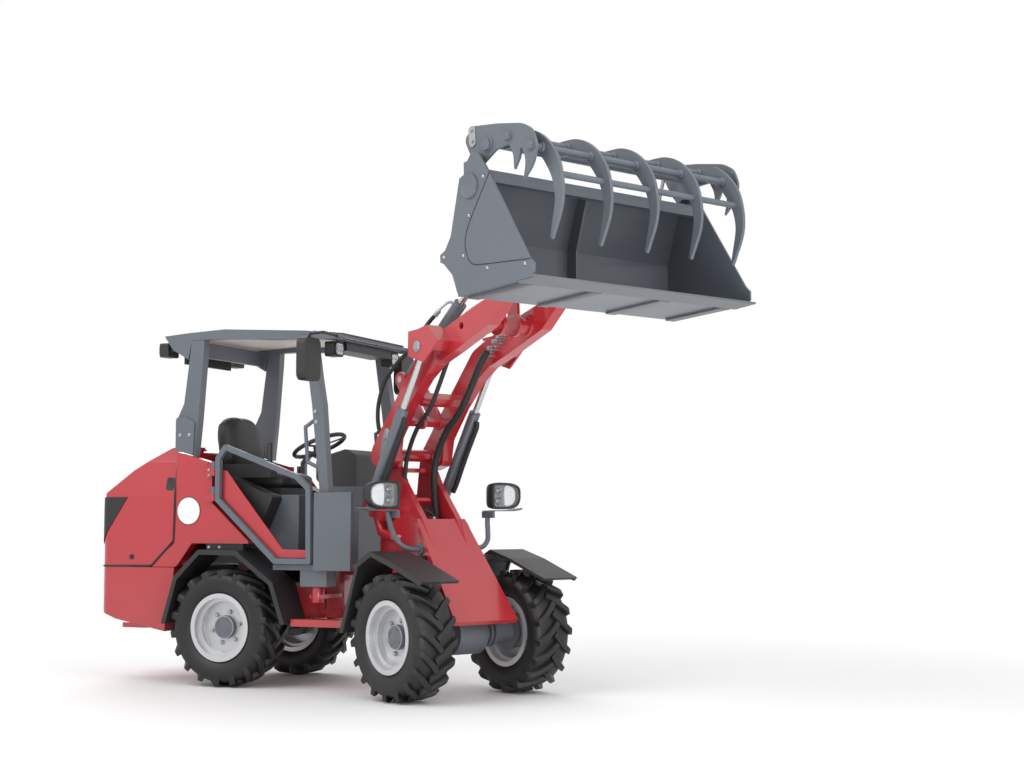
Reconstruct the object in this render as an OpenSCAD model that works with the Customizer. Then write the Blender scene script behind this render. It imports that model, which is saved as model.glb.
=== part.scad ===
// Compact articulated wheel loader with canopy, raised lift arm and grapple bucket.
// Millimetres, +Z up. Shapes are drawn about the articulation axis on the ground,
// the rear half along +X, the front half in its own axes and steered to the right.

/* [Stance] */
// Rear axle, from the articulation axis
rear_axle_x = -865; // [-1000:1:-700]
// Front axle, from the articulation axis
front_axle_x = 857; // [700:1:1000]
// Distance between left and right wheel centres
track = 875; // [700:1:1000]
// Height of the wheel centres
axle_z = 375; // [300:1:420]
// Steering angle of the front half, to the right
steer_deg = 26.743; // [0:0.001:40]
// Running clearance of pins and shafts
run_gap = 0.1; // [0.05:0.01:0.3]
// Gap between seated or neighbouring pieces
seat_gap = 0.5; // [0.2:0.1:1]

/* [Wheels] */
// Tyre diameter over the lugs
tyre_d = 750; // [600:1:800]
// Lug height over the carcass
lug_h = 28; // [10:1:40]
// Lugs on each half of the tread
lug_count = 18; // [10:1:24]
// Lug slant from the axle
lug_slant = 45; // [20:1:60]
// Lug width at the foot and at the top
lug_w = [54, 34]; // [20:1:80]
// Lug ends along its length, from the tread's middle
lug_run = [-20, 172]; // [-40:1:200]
// Lug set back round the tyre
lug_back = 54; // [20:1:90]
// Shoulder block, low and high radius
shoulder_r = [312, 358]; // [280:1:380]
// Shoulder block inner and outer face
shoulder_y = [92, 131]; // [60:1:140]
// Tyre width
tyre_w = 264; // [200:1:320]
// Rim flange diameter
rim_flange_d = 430; // [380:1:460]
// Bead seat diameter
rim_seat_d = 389; // [340:1:420]
// Well diameter of the rim
rim_well_d = 344; // [300:1:360]
// Rim width over the flanges
rim_w = 230; // [180:1:260]
// Rim wall thickness
rim_wall = 9; // [6:1:14]
// Wheel disc offset outwards from the tyre's middle
disc_offset = 12; // [0:1:40]
// Wheel disc thickness
disc_t = 14; // [8:1:20]
// Hub drum diameter
hub_d = 210; // [160:1:240]
// Hub drum length inside the disc
hub_len = 72; // [40:1:100]
// Hub cap diameter
cap_d = 142; // [100:1:170]
// Hub cap length outside the disc
cap_len = 34; // [20:1:60]
// Wheel spindle diameter
spindle_d = 80; // [60:1:100]

/* [Axles] */
// Axle tube diameter
axle_d = 132; // [100:1:180]
// Axle flange diameter
axle_flange_d = 220; // [160:1:260]
// Axle flange thickness
axle_flange_t = 26; // [15:1:50]
// Middle casing diameter
casing_d = 250; // [180:1:320]
// Middle casing width
casing_w = 210; // [120:1:300]

/* [Rear frame] */
// Frame plate distance from the middle
frame_y = 205; // [150:1:260]
// Frame plate thickness
frame_t = 24; // [12:1:40]
// Frame plate low and high edge
frame_z = [452, 640]; // [300:1:900]
// Frame plate rear and front end
frame_x = [-1650, -300]; // [-1900:1:0]
// Joint housing, low corner
joint_box_lo = [-480, -185, 432]; // [-700:1:700]
// Joint housing, high corner
joint_box_hi = [-165, 185, 735]; // [-700:1:900]
// Articulation ear radius
ear_r = 92; // [60:1:140]
// Articulation ear thickness
ear_t = 34; // [20:1:60]
// Articulation pin diameter
artic_pin_d = 70; // [40:1:100]
// Step tread, low corner
step_lo = [-350, 402, 396]; // [-600:1:800]
// Step tread, high corner
step_hi = [-6, 532, 440]; // [-600:1:800]
// Step hanger positions
step_hanger_x = [-330, -210]; // [-500:1:0]
// Step hanger thickness
step_hanger_t = 16; // [8:1:30]
// Cab mount place
cab_mount = [-215, 430]; // [-400:1:500]
// Cab mount low and high face
cab_mount_z = [566, 640]; // [400:1:740]
// Cab mount diameter
cab_mount_d = 84; // [50:1:140]
// Cab foot over the mount, half length and half width
cab_foot_half = [96, 60]; // [30:1:160]
// Tow jaw, low corner
tow_lo = [-1990, -62, 318]; // [-2200:1:800]
// Tow jaw, high corner
tow_hi = [-1790, 62, 430]; // [-2200:1:800]
// Tow jaw mouth height
tow_mouth = 46; // [30:1:80]
// Tow jaw mouth depth
tow_depth = 110; // [60:1:160]
// Tow pin bore
tow_pin_d = 31; // [20:1:50]
// Tow pin bore, from the jaw's end
tow_pin_inset = 48; // [30:1:90]
// Engine block, low corner
engine_lo = [-1673.6, -180, 650]; // [-1800:1:900]
// Engine block, high corner
engine_hi = [-1245, 180, 1180]; // [-1800:1:1500]

/* [Rear body] */
// Half width of the body
body_half = 500; // [400:1:600]
// Body side wall
body_wall = 58; // [30:1:90]
// Hood skin thickness
hood_wall = 22; // [10:1:40]
// Hood side outline, with corner radii
hood_side = [
    [-1252, 1503, 20], [-1322, 1538, 60], [-1604, 1382, 120], [-1818, 1226, 45],
    [-1868, 850, 12], [-1858, 758, 0], [-1438, 763, 0], [-1270, 922, 0], [-1262, 1274, 0]
];
// Hood rear view outline, inwards from the side, with corner radii
hood_back_in = [[0, 700, 0], [0, 1210, 120], [38, 1440, 60], [120, 1600, 0]];
// Hood plan outline, inwards from the side, with corner radii
hood_plan_in = [[-1888, 140, 0], [-1820, 0, 60], [-1200, 0, 0]];
// Hood rear face on the middle
hood_rear_x = -1900; // [-2100:1:-1700]
// Ballast side outline, with corner radii
ballast_side = [
    [-1884, 748, 14], [-1892, 612, 30], [-1815, 446, 30], [-1712, 408, 20],
    [-1322, 336, 0], [-1316, 430, 0], [-1264, 650, 0], [-1254, 748, 0]
];
// Ballast pocket for the frame, half width
ballast_pocket = 236; // [200:1:320]
// Side panel outline
panel_side = [
    [-1244, 1498], [-1248, 1274], [-1256, 916], [-1424, 757], [-1424, 752], [-1246, 752],
    [-1224, 770], [-1120, 905], [-690, 905], [-690, 922], [-967, 1164], [-972, 1424]
];
// Bulkhead behind the seat, front face and thickness
bulkhead = [-1205, 20]; // [-1300:1:40]
// Grille corner outline on the hood's side
grille_side = [[-1840, 1206], [-1632, 1206], [-1868, 868]];
// Corner grille inner edge, inwards from the side
grille_in = 70; // [20:1:140]
// Grille slot pitch
slot_pitch = 28; // [16:1:50]
// Grille slot height
slot_h = 14; // [6:1:30]
// Grille plate thickness
grille_t = 6; // [3:1:12]
// Rear grille low and high edge
rear_grille_z = [880, 1190]; // [700:1:1400]
// Rear grille half width
rear_grille_half = 340; // [200:1:450]
// Hood hinge axis
hood_hinge = [-1236, 1520]; // [-1400:1:1700]
// Hood hinge pin diameter
hood_pin_d = 16; // [8:1:30]
// Hood hinge place on each side
hood_hinge_y = 250; // [100:1:400]
// Hood hinge knuckle width
hood_knuckle_w = 60; // [30:1:100]

/* [Mudguards] */
// Rear mudguard crest line
rear_guard = [
    [-1288, 392], [-1196, 694], [-1012, 866], [-725, 862], [-452, 668], [-362, 413]
];
// Front mudguard crest line
front_guard = [
    [408, 381], [586, 806], [725, 872], [930, 818], [1243, 708]
];
// Mudguard skin thickness
guard_t = 20; // [8:1:40]
// Mudguard inner and outer edge
guard_y = [318, 586]; // [250:1:700]
// Mudguard outer lip width
guard_lip = 14; // [6:1:30]
// Mudguard foot on the body, rear and front end
guard_foot_x = [-1010, -735]; // [-1200:1:0]
// Front mudguard stay, rear and front end
guard_stay_x = [690, 760]; // [500:1:1000]
// Front mudguard stay, low and high edge
guard_stay_z = [812, 842]; // [600:1:1000]

/* [Cab] */
// Floor low and high face
floor_z = [742, 776]; // [600:1:900]
// Floor rear and front end
floor_x = [-690, -62]; // [-900:1:100]
// Wide part of the floor, rear end
floor_wide_x = -505; // [-700:1:-300]
// Floor half width
floor_half = 500; // [300:1:600]
// Front wall thickness
wall_t = 28; // [15:1:50]
// Front wall half width and top
wall_half = 196; // [150:1:320]
// Front wall top
wall_top = 1120; // [900:1:1300]
// Side box, low corner
side_box_lo = [-192, 490.4, 742]; // [-400:1:900]
// Side box, high corner
side_box_hi = [72, 530, 1226]; // [-400:1:1400]
// Seat box, low corner
seat_box_lo = [-1150, -300, 776]; // [-1300:1:900]
// Seat box, high corner
seat_box_hi = [-440, 300, 1216]; // [-1300:1:1400]
// Seat box wall
seat_box_wall = 24; // [10:1:40]
// Side shelf beside the seat, low corner
shelf_lo = [-1150, 300, 922]; // [-1300:1:1200]
// Side shelf beside the seat, front end and top
shelf_hi = [-975, 1210]; // [-1300:1:1500]
// Dashboard outline
dash_side = [
    [-92, 776, 0], [-92, 1470, 30], [-170, 1512, 40], [-392, 1452, 30], [-392, 1320, 30],
    [-250, 1180, 40], [-250, 776, 0]
];
// Dashboard half width
dash_half = 170; // [100:1:300]
// Steering wheel centre
wheel_centre = [-470, 0, 1545]; // [-800:1:1800]
// Steering wheel rake
wheel_rake = 24; // [0:1:60]
// Steering wheel ring diameter
wheel_ring_d = 350; // [250:1:450]
// Steering wheel rim thickness
wheel_rim_d = 28; // [20:1:40]
// Steering wheel boss diameter
wheel_boss_d = 90; // [50:1:120]
// Steering column length
column_len = 130; // [60:1:250]
// Steering column diameter
column_d = 56; // [30:1:90]

/* [Seat] */
// Seat carrier, low corner
carrier_lo = [-1060, -200, 1216]; // [-1300:1:1400]
// Seat carrier, high corner
carrier_hi = [-640, 200, 1266]; // [-1300:1:1500]
// Seat cushion outline
cushion_side = [
    [-1049.4, 1266.3, 0], [-620, 1266.3, 30], [-600, 1350, 40], [-760, 1372, 60], [-1049.4, 1340, 0]
];
// Seat back outline
back_side = [
    [-1092, 1300, 10], [-1064, 1300, 10], [-1000, 1480, 120], [-1052, 1742, 45], [-1120, 1766, 30],
    [-1172, 1730, 40], [-1158, 1500, 120]
];
// Seat half width
seat_half = 232; // [180:1:300]
// Console outline beside the seat
console_side = [
    [-970, 1350, 20], [-890, 1336, 40], [-640, 1236, 60], [-556, 1212, 30], [-690, 920, 30], [-770, 940, 40], [-970, 1166, 0]
];
// Console gap to the side panel
console_gap = 22; // [5:1:60]
// Armrest box, low corner
arm_box_lo = [-1000, 246, 1330]; // [-1300:1:1500]
// Armrest box, high corner
arm_box_hi = [-640, 316, 1420]; // [-1300:1:1600]
// Joystick height
stick_h = 170; // [80:1:260]
// Joystick diameter
stick_d = 34; // [20:1:60]

/* [Canopy] */
// Post inner and outer face
post_y = [428, 490]; // [350:1:560]
// Rear post outline
rear_post = [
    [-1232, 1503], [-1116, 1470], [-1092, 1700], [-1058, 2140], [-1054, 2224], [-1150, 2224], [-1204, 1812],
    [-1250, 1722]
];
// Rear post bracket outline
post_bracket = [[-1258, 1512, 0], [-1122, 1474, 0], [-1112, 1690, 20], [-1188, 1728, 20], [-1258, 1720, 20]];
// Rear post bracket thickness
bracket_t = 12; // [6:1:24]
// Front post outline
front_post = [
    [-156, 776.4], [-102, 776.4], [-112, 1250], [-156, 1780], [-186, 1950], [-222, 2190.6], [-296, 2190.6], [-258, 1925],
    [-236, 1780], [-176, 1250]
];
// Roof rail outline
roof_rail = [
    [-1368, 2262], [-1300, 2170], [-1178, 2102], [-1150, 2225], [-913, 2226], [-299, 2193], [-60, 2188], [-10, 2212],
    [-280, 2250], [-900, 2288], [-1200, 2275]
];
// Roof panel outline
roof_skin = [
    [-1335, 2240], [-1190, 2250], [-900, 2262], [-290, 2226], [-50, 2200], [-50, 2218], [-290, 2246],
    [-900, 2284], [-1190, 2270], [-1335, 2256]
];
// Front roof beam, rear and front face
roof_front_x = [-128, -70]; // [-300:1:0]
// Roof beam height
roof_beam_h = 12; // [10:1:60]
// Rear roof plate, rear and front face
roof_rear_x = [-1222, -1192]; // [-1400:1:-900]
// Rear roof plate low edge
roof_rear_z = [2135, 2236]; // [1900:1:2300]
// Handle tube path
handle_path = [[-222, 1690], [-300, 1640], [-282, 1420], [-178, 1372]];
// Handle tube diameter
handle_d = 24; // [16:1:40]
// Roof louvre slats
louvre_count = 8; // [3:1:14]
// Rear and front slat, fore and aft place
louvre_x = [-284, -78]; // [-400:1:0]
// Rear and front slat, foot height
louvre_z = [2245.7, 2221.7]; // [2100:1:2300]
// Slat width
louvre_w = 16; // [8:1:30]
// Slat height
louvre_h = 12; // [6:1:30]
// Slat foot's fall along the roof's slope
louvre_drop = -1.8; // [-4:0.1:0]
// Visor, low corner
visor_lo = [-252, -300, 2132]; // [-500:1:2300]
// Visor, high corner
visor_hi = [-96, 300, 2186]; // [-500:1:2300]

/* [Lamps and mirrors] */
// Front work lamp centre
front_lamp = [-148, 372, 2136]; // [-300:1:2300]
// Rear work lamp centre
rear_lamp = [-1400, 392, 2178]; // [-1600:1:2300]
// Work lamp depth, width and height
work_lamp = [70, 118, 94]; // [20:1:200]
// Work lamp corner radius
work_round = 14; // [4:1:30]
// Lens thickness
lens_t = 8; // [3:1:15]
// Lens margin inside the lamp rim
lens_margin = 9; // [3:1:20]
// Mirror head centre
mirror_at = [-176, 636, 2050]; // [-600:1:2300]
// Mirror head depth, width and height
mirror_box = [62, 190, 268]; // [20:1:400]
// Mirror head corner radius
mirror_round = 44; // [10:1:80]
// Mirror stay path
mirror_stay = [[-60, 490.4, 2206], [-70, 640, 2214], [-150, 660, 2206], [-170, 650, 2170]];
// Mirror stay diameter
mirror_stay_d = 18; // [10:1:30]
// Plate holder, low corner
plate_lo = [-1372, -262, 2098]; // [-1600:1:2300]
// Plate holder, high corner
plate_hi = [-1348, 262, 2226]; // [-1600:1:2300]
// Plate holder arm width
plate_arm_w = 40; // [20:1:80]

/* [Doors] */
// Door plane, out from the body's side
door_out = 20; // [5:1:60]
// Door tube diameter
door_tube_d = 34; // [20:1:50]
// Door tube path
door_path = [
    [-905, 1186], [-905, 1450], [-850, 1520], [-318, 1325], [-232, 1252], [-226, 798], [-470, 798], [-905, 1186]
];
// Door panel outline
door_panel = [[-886, 1372], [-858, 1368], [-435, 872], [-245, 868], [-245, 818], [-466, 818], [-886, 1196]];
// Door panel thickness
door_panel_t = 12; // [4:1:20]
// Door hinge axis, fore and aft
door_hinge_x = -944; // [-1000:1:-800]
// Door hinge pin diameter
door_pin_d = 14; // [8:1:24]
// Door hinge knuckle diameter
door_knuckle_d = 30; // [20:1:40]
// Door hinge knuckle height
door_knuckle_h = 46; // [30:1:80]
// Door hinge heights
door_hinge_z = [1222, 1384]; // [900:1:1500]

/* [Front frame] */
// Tower plate inner and outer face
tower_y = [112, 150]; // [80:1:200]
// Tower plate outline
tower_side = [
    [300, 1500, 40], [398, 1500, 40], [392, 1390, 20], [462, 1280, 20], [652, 1062, 20], [900, 705, 0],
    [1042, 520, 0], [1098, 462, 0], [640, 452, 0], [230, 452, 60], [196, 640, 60], [214, 1100, 80], [262, 1420, 60]
];
// Wedge front plate top and bottom
wedge_x = [640, 1098]; // [500:1:1300]
// Wedge front plate heights, bottom and top
wedge_z = [462, 1062]; // [300:1:1200]
// Wedge half width, bottom and top
wedge_half = [236, 186]; // [120:1:320]
// Wedge skin thickness
wedge_t = 22; // [10:1:40]
// Bent pipe path on the right side
bent_pipe = [[246, -200, 1150], [250, -200, 1060], [292, -200, 980], [420, -196, 948], [480, -170, 940]];
// Bent pipe diameter
bent_pipe_d = 56; // [30:1:80]
// Side cheek outline
cheek_side = [[330, 470], [1085, 470], [1050, 512], [660, 1040], [470, 1090], [340, 1010], [300, 800]];
// Side cheek inner and outer face
cheek_y = [150, 190]; // [120:1:260]
// Tongue plate rear radius
tongue_r = 84; // [60:1:120]
// Tongue plate thickness
tongue_t = 34; // [20:1:60]
// Tongue plate front end
tongue_x = 380; // [250:1:500]
// Low tower tube
tower_tube = [425, 1180]; // [300:1:1400]
// Low tower tube diameter
tower_tube_d = 40; // [20:1:80]
// Tower web, rear and front edge
web_x = [232, 360]; // [150:1:500]
// Tower web top
web_z = 1380; // [1200:1:1500]
// Tower web thickness
web_t = 26; // [12:1:40]

/* [Lift arm] */
// Arm pivot
arm_pivot = [345, 1460]; // [200:1:1700]
// Arm pivot pin diameter
arm_pin_d = 60; // [40:1:90]
// Arm pivot tube diameter
arm_tube_d = 76; // [60:1:110]
// Beam inner and outer face
beam_y = [160, 235]; // [120:1:300]
// Beam outline
beam_side = [
    [236, 1512, 0], [345, 1640, 0], [590, 1918, 60], [748, 2098, 120], [860, 2150, 80], [1248, 2292, 60],
    [1380, 2332, 120], [1630, 2488, 40], [1752, 2440, 40], [1726, 2352, 40], [1550, 2302, 60], [1412, 2178, 60],
    [1079, 2050, 60], [905, 1990, 120], [780, 1908, 80], [622, 1758, 0], [466, 1562, 40], [436, 1404, 40],
    [300, 1366, 60], [206, 1440, 50]
];
// Low rung centre and size
rung_a = [522, 1664, 44]; // [10:1:2200]
// High rung centre and size
rung_b = [644, 1793, 60]; // [10:1:2200]
// Lever pivot
lever_pivot = [1275, 2211]; // [1000:1:2500]
// Cross tube diameter at the lever pivot
lever_tube_d = 100; // [60:1:130]
// Bucket pivot
bucket_pivot = [1690, 2415]; // [1400:1:2700]
// Bucket pivot pin diameter
bucket_pin_d = 50; // [30:1:70]

/* [Lift cylinders] */
// Lift cylinder distance from the middle
lift_y = 278; // [200:1:350]
// Lift cylinder base pin
lift_base = [270, 1150]; // [100:1:1500]
// Lift rod eye
lift_eye = [845, 2090]; // [500:1:2300]
// Lift barrel diameter
lift_barrel_d = 72; // [50:1:110]
// Lift barrel end, from the base pin
lift_barrel_len = 680; // [400:1:900]
// Lift rod diameter
lift_rod_d = 40; // [25:1:60]
// Lift rod inner end, from the base pin
lift_rod_from = 490; // [300:1:700]
// Lift eye diameter
lift_eye_d = 78; // [50:1:110]
// Lift pin diameter
lift_pin_d = 36; // [20:1:60]
// Lift clevis plate inner and outer face
clevis_y = [322, 336]; // [300:1:380]
// Lift clevis plate outline
clevis_side = [
    [752, 2188], [846, 2194], [940, 2212], [1050, 2112], [985, 2056], [944, 2118], [900, 2166], [846, 2174], [756, 2170]
];
// Rung slope
rung_slope = 50; // [0:1:90]
// Hole through the beams
arm_hole = [1146, 2195]; // [900:1:2400]
// Hole through the beams, diameter
arm_hole_d = 42; // [20:1:60]
// Collar on the lever tube, diameter
lever_collar_d = 138; // [110:1:160]
// Collar on the lever tube, width
lever_collar_w = 26; // [10:1:50]
// Lift clevis outer cheek outline
clevis_cheek = [[752, 2188], [846, 2194], [940, 2212], [1050, 2112], [985, 2056], [905, 1990], [748, 2040]];
// Lift base plate outline
base_plate = [[200, 1080], [330, 1050], [400, 1120], [330, 1215], [220, 1215]];

/* [Tilt linkage] */
// Tilt cylinder base pin
tilt_base = [295, 1945]; // [100:1:2200]
// Tilt cylinder lug inner and outer face
tilt_lug_y = [52, 74]; // [40:1:110]
// Tilt cylinder lug half width
tilt_lug_r = 46; // [30:1:80]
// Lever top pin
lever_top = [1225, 2696]; // [900:1:3000]
// Tilt barrel diameter
tilt_barrel_d = 84; // [50:1:110]
// Tilt barrel end, from the base pin
tilt_barrel_len = 690; // [400:1:900]
// Tilt rod diameter
tilt_rod_d = 45; // [25:1:60]
// Tilt eye diameter
tilt_eye_d = 84; // [50:1:110]
// Tilt pin diameter
tilt_pin_d = 40; // [20:1:60]
// Tilt eye half width
tilt_eye_half = 44; // [20:1:60]
// Lever plate inner and outer face
lever_y = [50, 70]; // [40:1:120]
// Lever half width
lever_half = 46; // [30:1:80]
// Lever hub diameter
lever_hub_d = 146; // [120:1:180]
// Lever bush diameter
lever_bush_d = 112; // [104:1:130]
// Link pin on the hitch, from the bucket pivot
hitch_link = [-14, 296]; // [-200:1:500]
// Link half width
link_half = 36; // [20:1:60]
// Link bar height
link_h = 56; // [30:1:90]
// Link eye diameter
link_eye_d = 92; // [50:1:120]
// Hitch frame rear and front face
hitch_x = [1788, 1817.6]; // [1600:1:1900]
// Hitch frame low and high edge
hitch_z = [2300, 2790]; // [2000:1:3000]
// Hitch frame half width
hitch_half = 420; // [250:1:600]
// Hitch frame bar width
hitch_bar = 110; // [50:1:200]
// Hitch ear inner and outer face
hitch_ear_y = [116, 154]; // [80:1:240]
// Hitch link ear inner and outer face
link_ear_y = [50, 72]; // [40:1:120]
// Hitch ear radius
hitch_ear_r = 52; // [30:1:80]

/* [Bucket] */
// Bucket half width
bucket_half = 805; // [600:1:1000]
// Bucket side plate thickness
side_t = 12; // [6:1:25]
// Bucket side outline
bucket_side = [
    [1862, 2236], [2355, 2266], [2470, 2273], [2470, 2289], [2480, 2292], [2480, 2344], [2451, 2367], [2116, 2870], [2024, 2988],
    [1969, 3000], [1934, 2956], [1903, 2952], [1904, 2886], [1865, 2872], [1790, 2570], [1740, 2500], [1697, 2480],
    [1700, 2440], [1730, 2428], [1806, 2360]
];
// Bucket shell, outer line from the lip to the top
shell_out = [
    [2470, 2272], [1874, 2236], [1836, 2270], [1818, 2360], [1818, 2570], [1908, 2884], [2112, 2880]
];
// Bucket shell, inner line from the top to the lip
shell_in = [[2108, 2866], [1920, 2870], [1830, 2568], [1830, 2362], [1847, 2277], [1880, 2249], [2470, 2286]];
// Cutting edge outline
edge_side = [[2355, 2252], [2515, 2268], [2515, 2278], [2470.4, 2288], [2470.4, 2271.6], [2355, 2264.7]];
// Wear strip outline
wear_side = [[1900, 2224], [2350, 2251], [2350, 2264.3], [1900, 2237.2]];
// Outer wear strips, inwards from the side
wear_in = 70; // [20:1:200]
// Wear strip width
wear_w = 70; // [30:1:150]
// Bucket middle rib outline
rib_side = [[1828, 2580], [1918, 2868], [2000, 2868], [1905, 2560], [1905, 2330], [1832, 2380]];
// Bucket middle rib thickness
rib_t = 14; // [6:1:30]
// Bucket top bar, low corner of the section
top_bar_lo = [2060, 2820]; // [1900:1:3000]
// Bucket top bar, high corner of the section
top_bar_hi = [2108, 2866]; // [1900:1:3000]
// Grab lug inner and outer face, inwards from the side
grab_lug_in = [169, 153]; // [100:1:300]
// Grab lug outline
grab_lug = [[1818, 2380], [1818, 2560], [1700, 2500], [1694, 2440]];

/* [Grab] */
// Grab pivot
grab_pivot = [1975, 2960]; // [1700:1:3200]
// Grab pivot pin diameter
grab_pin_d = 36; // [20:1:60]
// Grab end plate inner and outer face, inwards from the side
end_plate_in = [63, 47]; // [20:1:120]
// Grab end plate outline with corner radii
end_plate = [
    [1925, 3152, 30], [1849, 3092, 36], [1890, 3020, 60], [1934, 2952, 24], [1968, 2922, 24], [2010, 2936, 16],
    [2050, 2956, 60], [2120, 2994, 110], [2226, 3000, 14], [2262, 2940, 110], [2269, 2861, 0], [2311, 2918, 90],
    [2321, 2982, 8], [2366, 2893, 120], [2341, 2792, 0], [2418, 2862, 140], [2450, 2956, 90], [2408, 3050, 90],
    [2330, 3092, 120], [2130, 3128, 0]
];
// Grab torsion tube centre
torsion = [2075, 3050]; // [1800:1:3300]
// Grab torsion tube diameter
torsion_d = 80; // [50:1:120]
// Tine outline with corner radii
tine_side = [
    [2060, 3085, 0], [2297, 3084, 270], [2418, 3022, 340], [2527, 2897, 300], [2570, 2681, 310], [2472, 2478, 0],
    [2460, 2484, 0], [2506, 2692, 230], [2473, 2808, 340], [2388, 2929, 310], [2270, 3000, 270], [2080, 3010, 0]
];
// Outer tines, inwards from the side
tine_in = 135; // [60:1:300]
// Tine thickness
tine_t = 20; // [10:1:40]
// Grab low bar centre
grab_bar = [2492, 2815]; // [2200:1:3000]
// Grab low bar size
grab_bar_d = 34; // [20:1:60]
// Grab cylinder base pin
grab_base = [1724, 2463]; // [1500:1:2700]
// Grab rod eye
grab_eye = [1922, 3112]; // [1700:1:3300]
// Grab cylinder, inwards from the side
grab_cyl_in = 123; // [60:1:300]
// Grab barrel diameter
grab_barrel_d = 50; // [30:1:70]
// Grab barrel end, from the base pin
grab_barrel_len = 440; // [250:1:560]
// Grab rod diameter
grab_rod_d = 28; // [16:1:40]
// Grab eye diameter
grab_eye_d = 56; // [36:1:80]
// Grab cylinder pin diameter
grab_cyl_pin_d = 25; // [12:1:40]
// Grab eye half width
grab_eye_half = 22; // [12:1:40]

/* [Headlamps] */
// Headlamp low corner
headlamp_lo = [600, 374, 1126]; // [300:1:1500]
// Headlamp high corner
headlamp_hi = [700, 548, 1292]; // [300:1:1500]
// Headlamp corner radius
headlamp_round = 40; // [10:1:70]
// Headlamp shelf low corner
lamp_shelf_lo = [560, 360, 1096]; // [300:1:1500]
// Headlamp shelf high corner
lamp_shelf_hi = [716, 560, 1122]; // [300:1:1500]
// Headlamp stay path
lamp_stay = [[682, 190.4, 880], [682, 240, 880], [676, 337, 925], [622, 372, 1040], [622, 392, 1102]];
// Headlamp stay diameter
lamp_stay_d = 32; // [20:1:50]
// Headlamp stay foot
lamp_foot_d = 70; // [50:1:140]
// Headlamp stay foot thickness
lamp_foot_t = 14; // [6:1:30]

/* [Hidden] */
$fn = 48;
arc_steps = 6;
ring_sides = 12;
half_track = track / 2;
hood_back = concat([[0, hood_back_in[0][1], 0]], [for (p = hood_back_in) [body_half - p[0], p[1], p[2]]],
                   [[0, hood_back_in[3][1], 0]]);
hood_plan = concat([[hood_rear_x, 0, 0]], [for (p = hood_plan_in) [p[0], body_half - p[1], p[2]]],
                   [[hood_plan_in[2][0], 0, 0]]);
door_y = body_half + door_out;
wear_shares = [-1, -0.347, 0.347, 1];
wear_y = [for (k = wear_shares) k * (bucket_half - wear_in)];
tine_shares = [-1, -0.5, 0, 0.5, 1];
tine_y = [for (k = tine_shares) k * (bucket_half - tine_in)];
grab_lug_y = [for (t = grab_lug_in) bucket_half - t];
end_plate_y = [for (t = end_plate_in) bucket_half - t];
grab_cyl_y = bucket_half - grab_cyl_in;
bucket_reach = edge_side[1][0];
box_front = bucket_reach * cos(steer_deg) + bucket_half * sin(steer_deg);
box_right = -bucket_reach * sin(steer_deg) - bucket_half * cos(steer_deg);
box_left = mirror_at[1] + mirror_box[1] / 2;
box_rear = tow_lo[0];
origin_x = (box_front + box_rear) / 2;
origin_y = (box_left + box_right) / 2;
lever_mid = lever_pivot + hitch_link;
hitch_top = bucket_pivot + hitch_link;
spindle_end = half_track + disc_offset;
hub_face = half_track + disc_offset - hub_len;
flange_face = hub_face - 12 * seat_gap;
hub_gap_share = 0.5;
crown_shares = [0.47, 0.5, 0.49, 0.4, 0.2];
well_shares = [0.3, 0.46];
spoke_shares = [0.33, 0.25, 0.6];
ring_phase_share = 0.5;
lug_stagger_share = 0.5;
lip_share = 1.6;

function xy(p) = [p[0], p[1]];
function unit(v) = v / norm(v);
function turn(a) = (a + 540) % 360 - 180;

// Points of a rounded corner at b between a and c
function corner(a, b, c, r) =
    let (u = unit(a - b), v = unit(c - b), half = acos(u * v) / 2)
    let (mid = b + unit(u + v) * r / sin(half), p = b + u * r / tan(half), q = b + v * r / tan(half))
    let (from = atan2(p[1] - mid[1], p[0] - mid[0]), to = atan2(q[1] - mid[1], q[0] - mid[0]))
    [for (i = [0 : arc_steps])
        let (t = from + turn(to - from) * i / arc_steps) mid + r * [cos(t), sin(t)]];

// Outline with rounded corners from rows of x, y, radius
function rounded(rows) =
    let (m = len(rows))
    [for (i = [0 : m - 1])
        each rows[i][2] > 0
            ? corner(xy(rows[(i + m - 1) % m]), xy(rows[i]), xy(rows[(i + 1) % m]), rows[i][2])
            : [xy(rows[i])]];

// Outline moved inwards about its own middle
function shrunk(pts, t) =
    let (xs = [for (p = pts) p[0]], ys = [for (p = pts) p[1]])
    let (c = [(min(xs) + max(xs)) / 2, (min(ys) + max(ys)) / 2])
    let (k = [1 - 2 * t / (max(xs) - min(xs)), 1 - 2 * t / (max(ys) - min(ys))])
    [for (p = pts) [c[0] + (p[0] - c[0]) * k[0], c[1] + (p[1] - c[1]) * k[1]]];

function mirrored(pts) = concat(pts, [for (i = [len(pts) - 1 : -1 : 0]) [-pts[i][0], pts[i][1]]]);
function side_point(p, y) = [p[0], y, p[1]];
function along(p, q, d) = p + unit(q - p) * d;

module place() {
    translate([-origin_x, -origin_y, 0])
        children();
}

module on_front() {
    rotate([0, 0, -steer_deg])
        children();
}

module both_sides() {
    children();
    mirror([0, 1, 0])
        children();
}

// Solid box between two corners
module box(lo, hi) {
    translate(lo)
        cube(hi - lo);
}

// Side outline in X and Z, extruded across from y0 to y1
module slab(pts, y0, y1) {
    translate([0, y1, 0])
        rotate([90, 0, 0])
            linear_extrude(y1 - y0)
                polygon(pts);
}

// Round bar across, from y0 to y1
module bar(at, d, y0, y1) {
    translate([at[0], y1, at[1]])
        rotate([90, 0, 0])
            cylinder(d = d, h = y1 - y0);
}

// Round bar between two points
module rod(p, q, d) {
    v = q - p;
    translate(p)
        rotate([0, acos(v[2] / norm(v)), atan2(v[1], v[0])])
            cylinder(d = d, h = norm(v));
}

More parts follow.
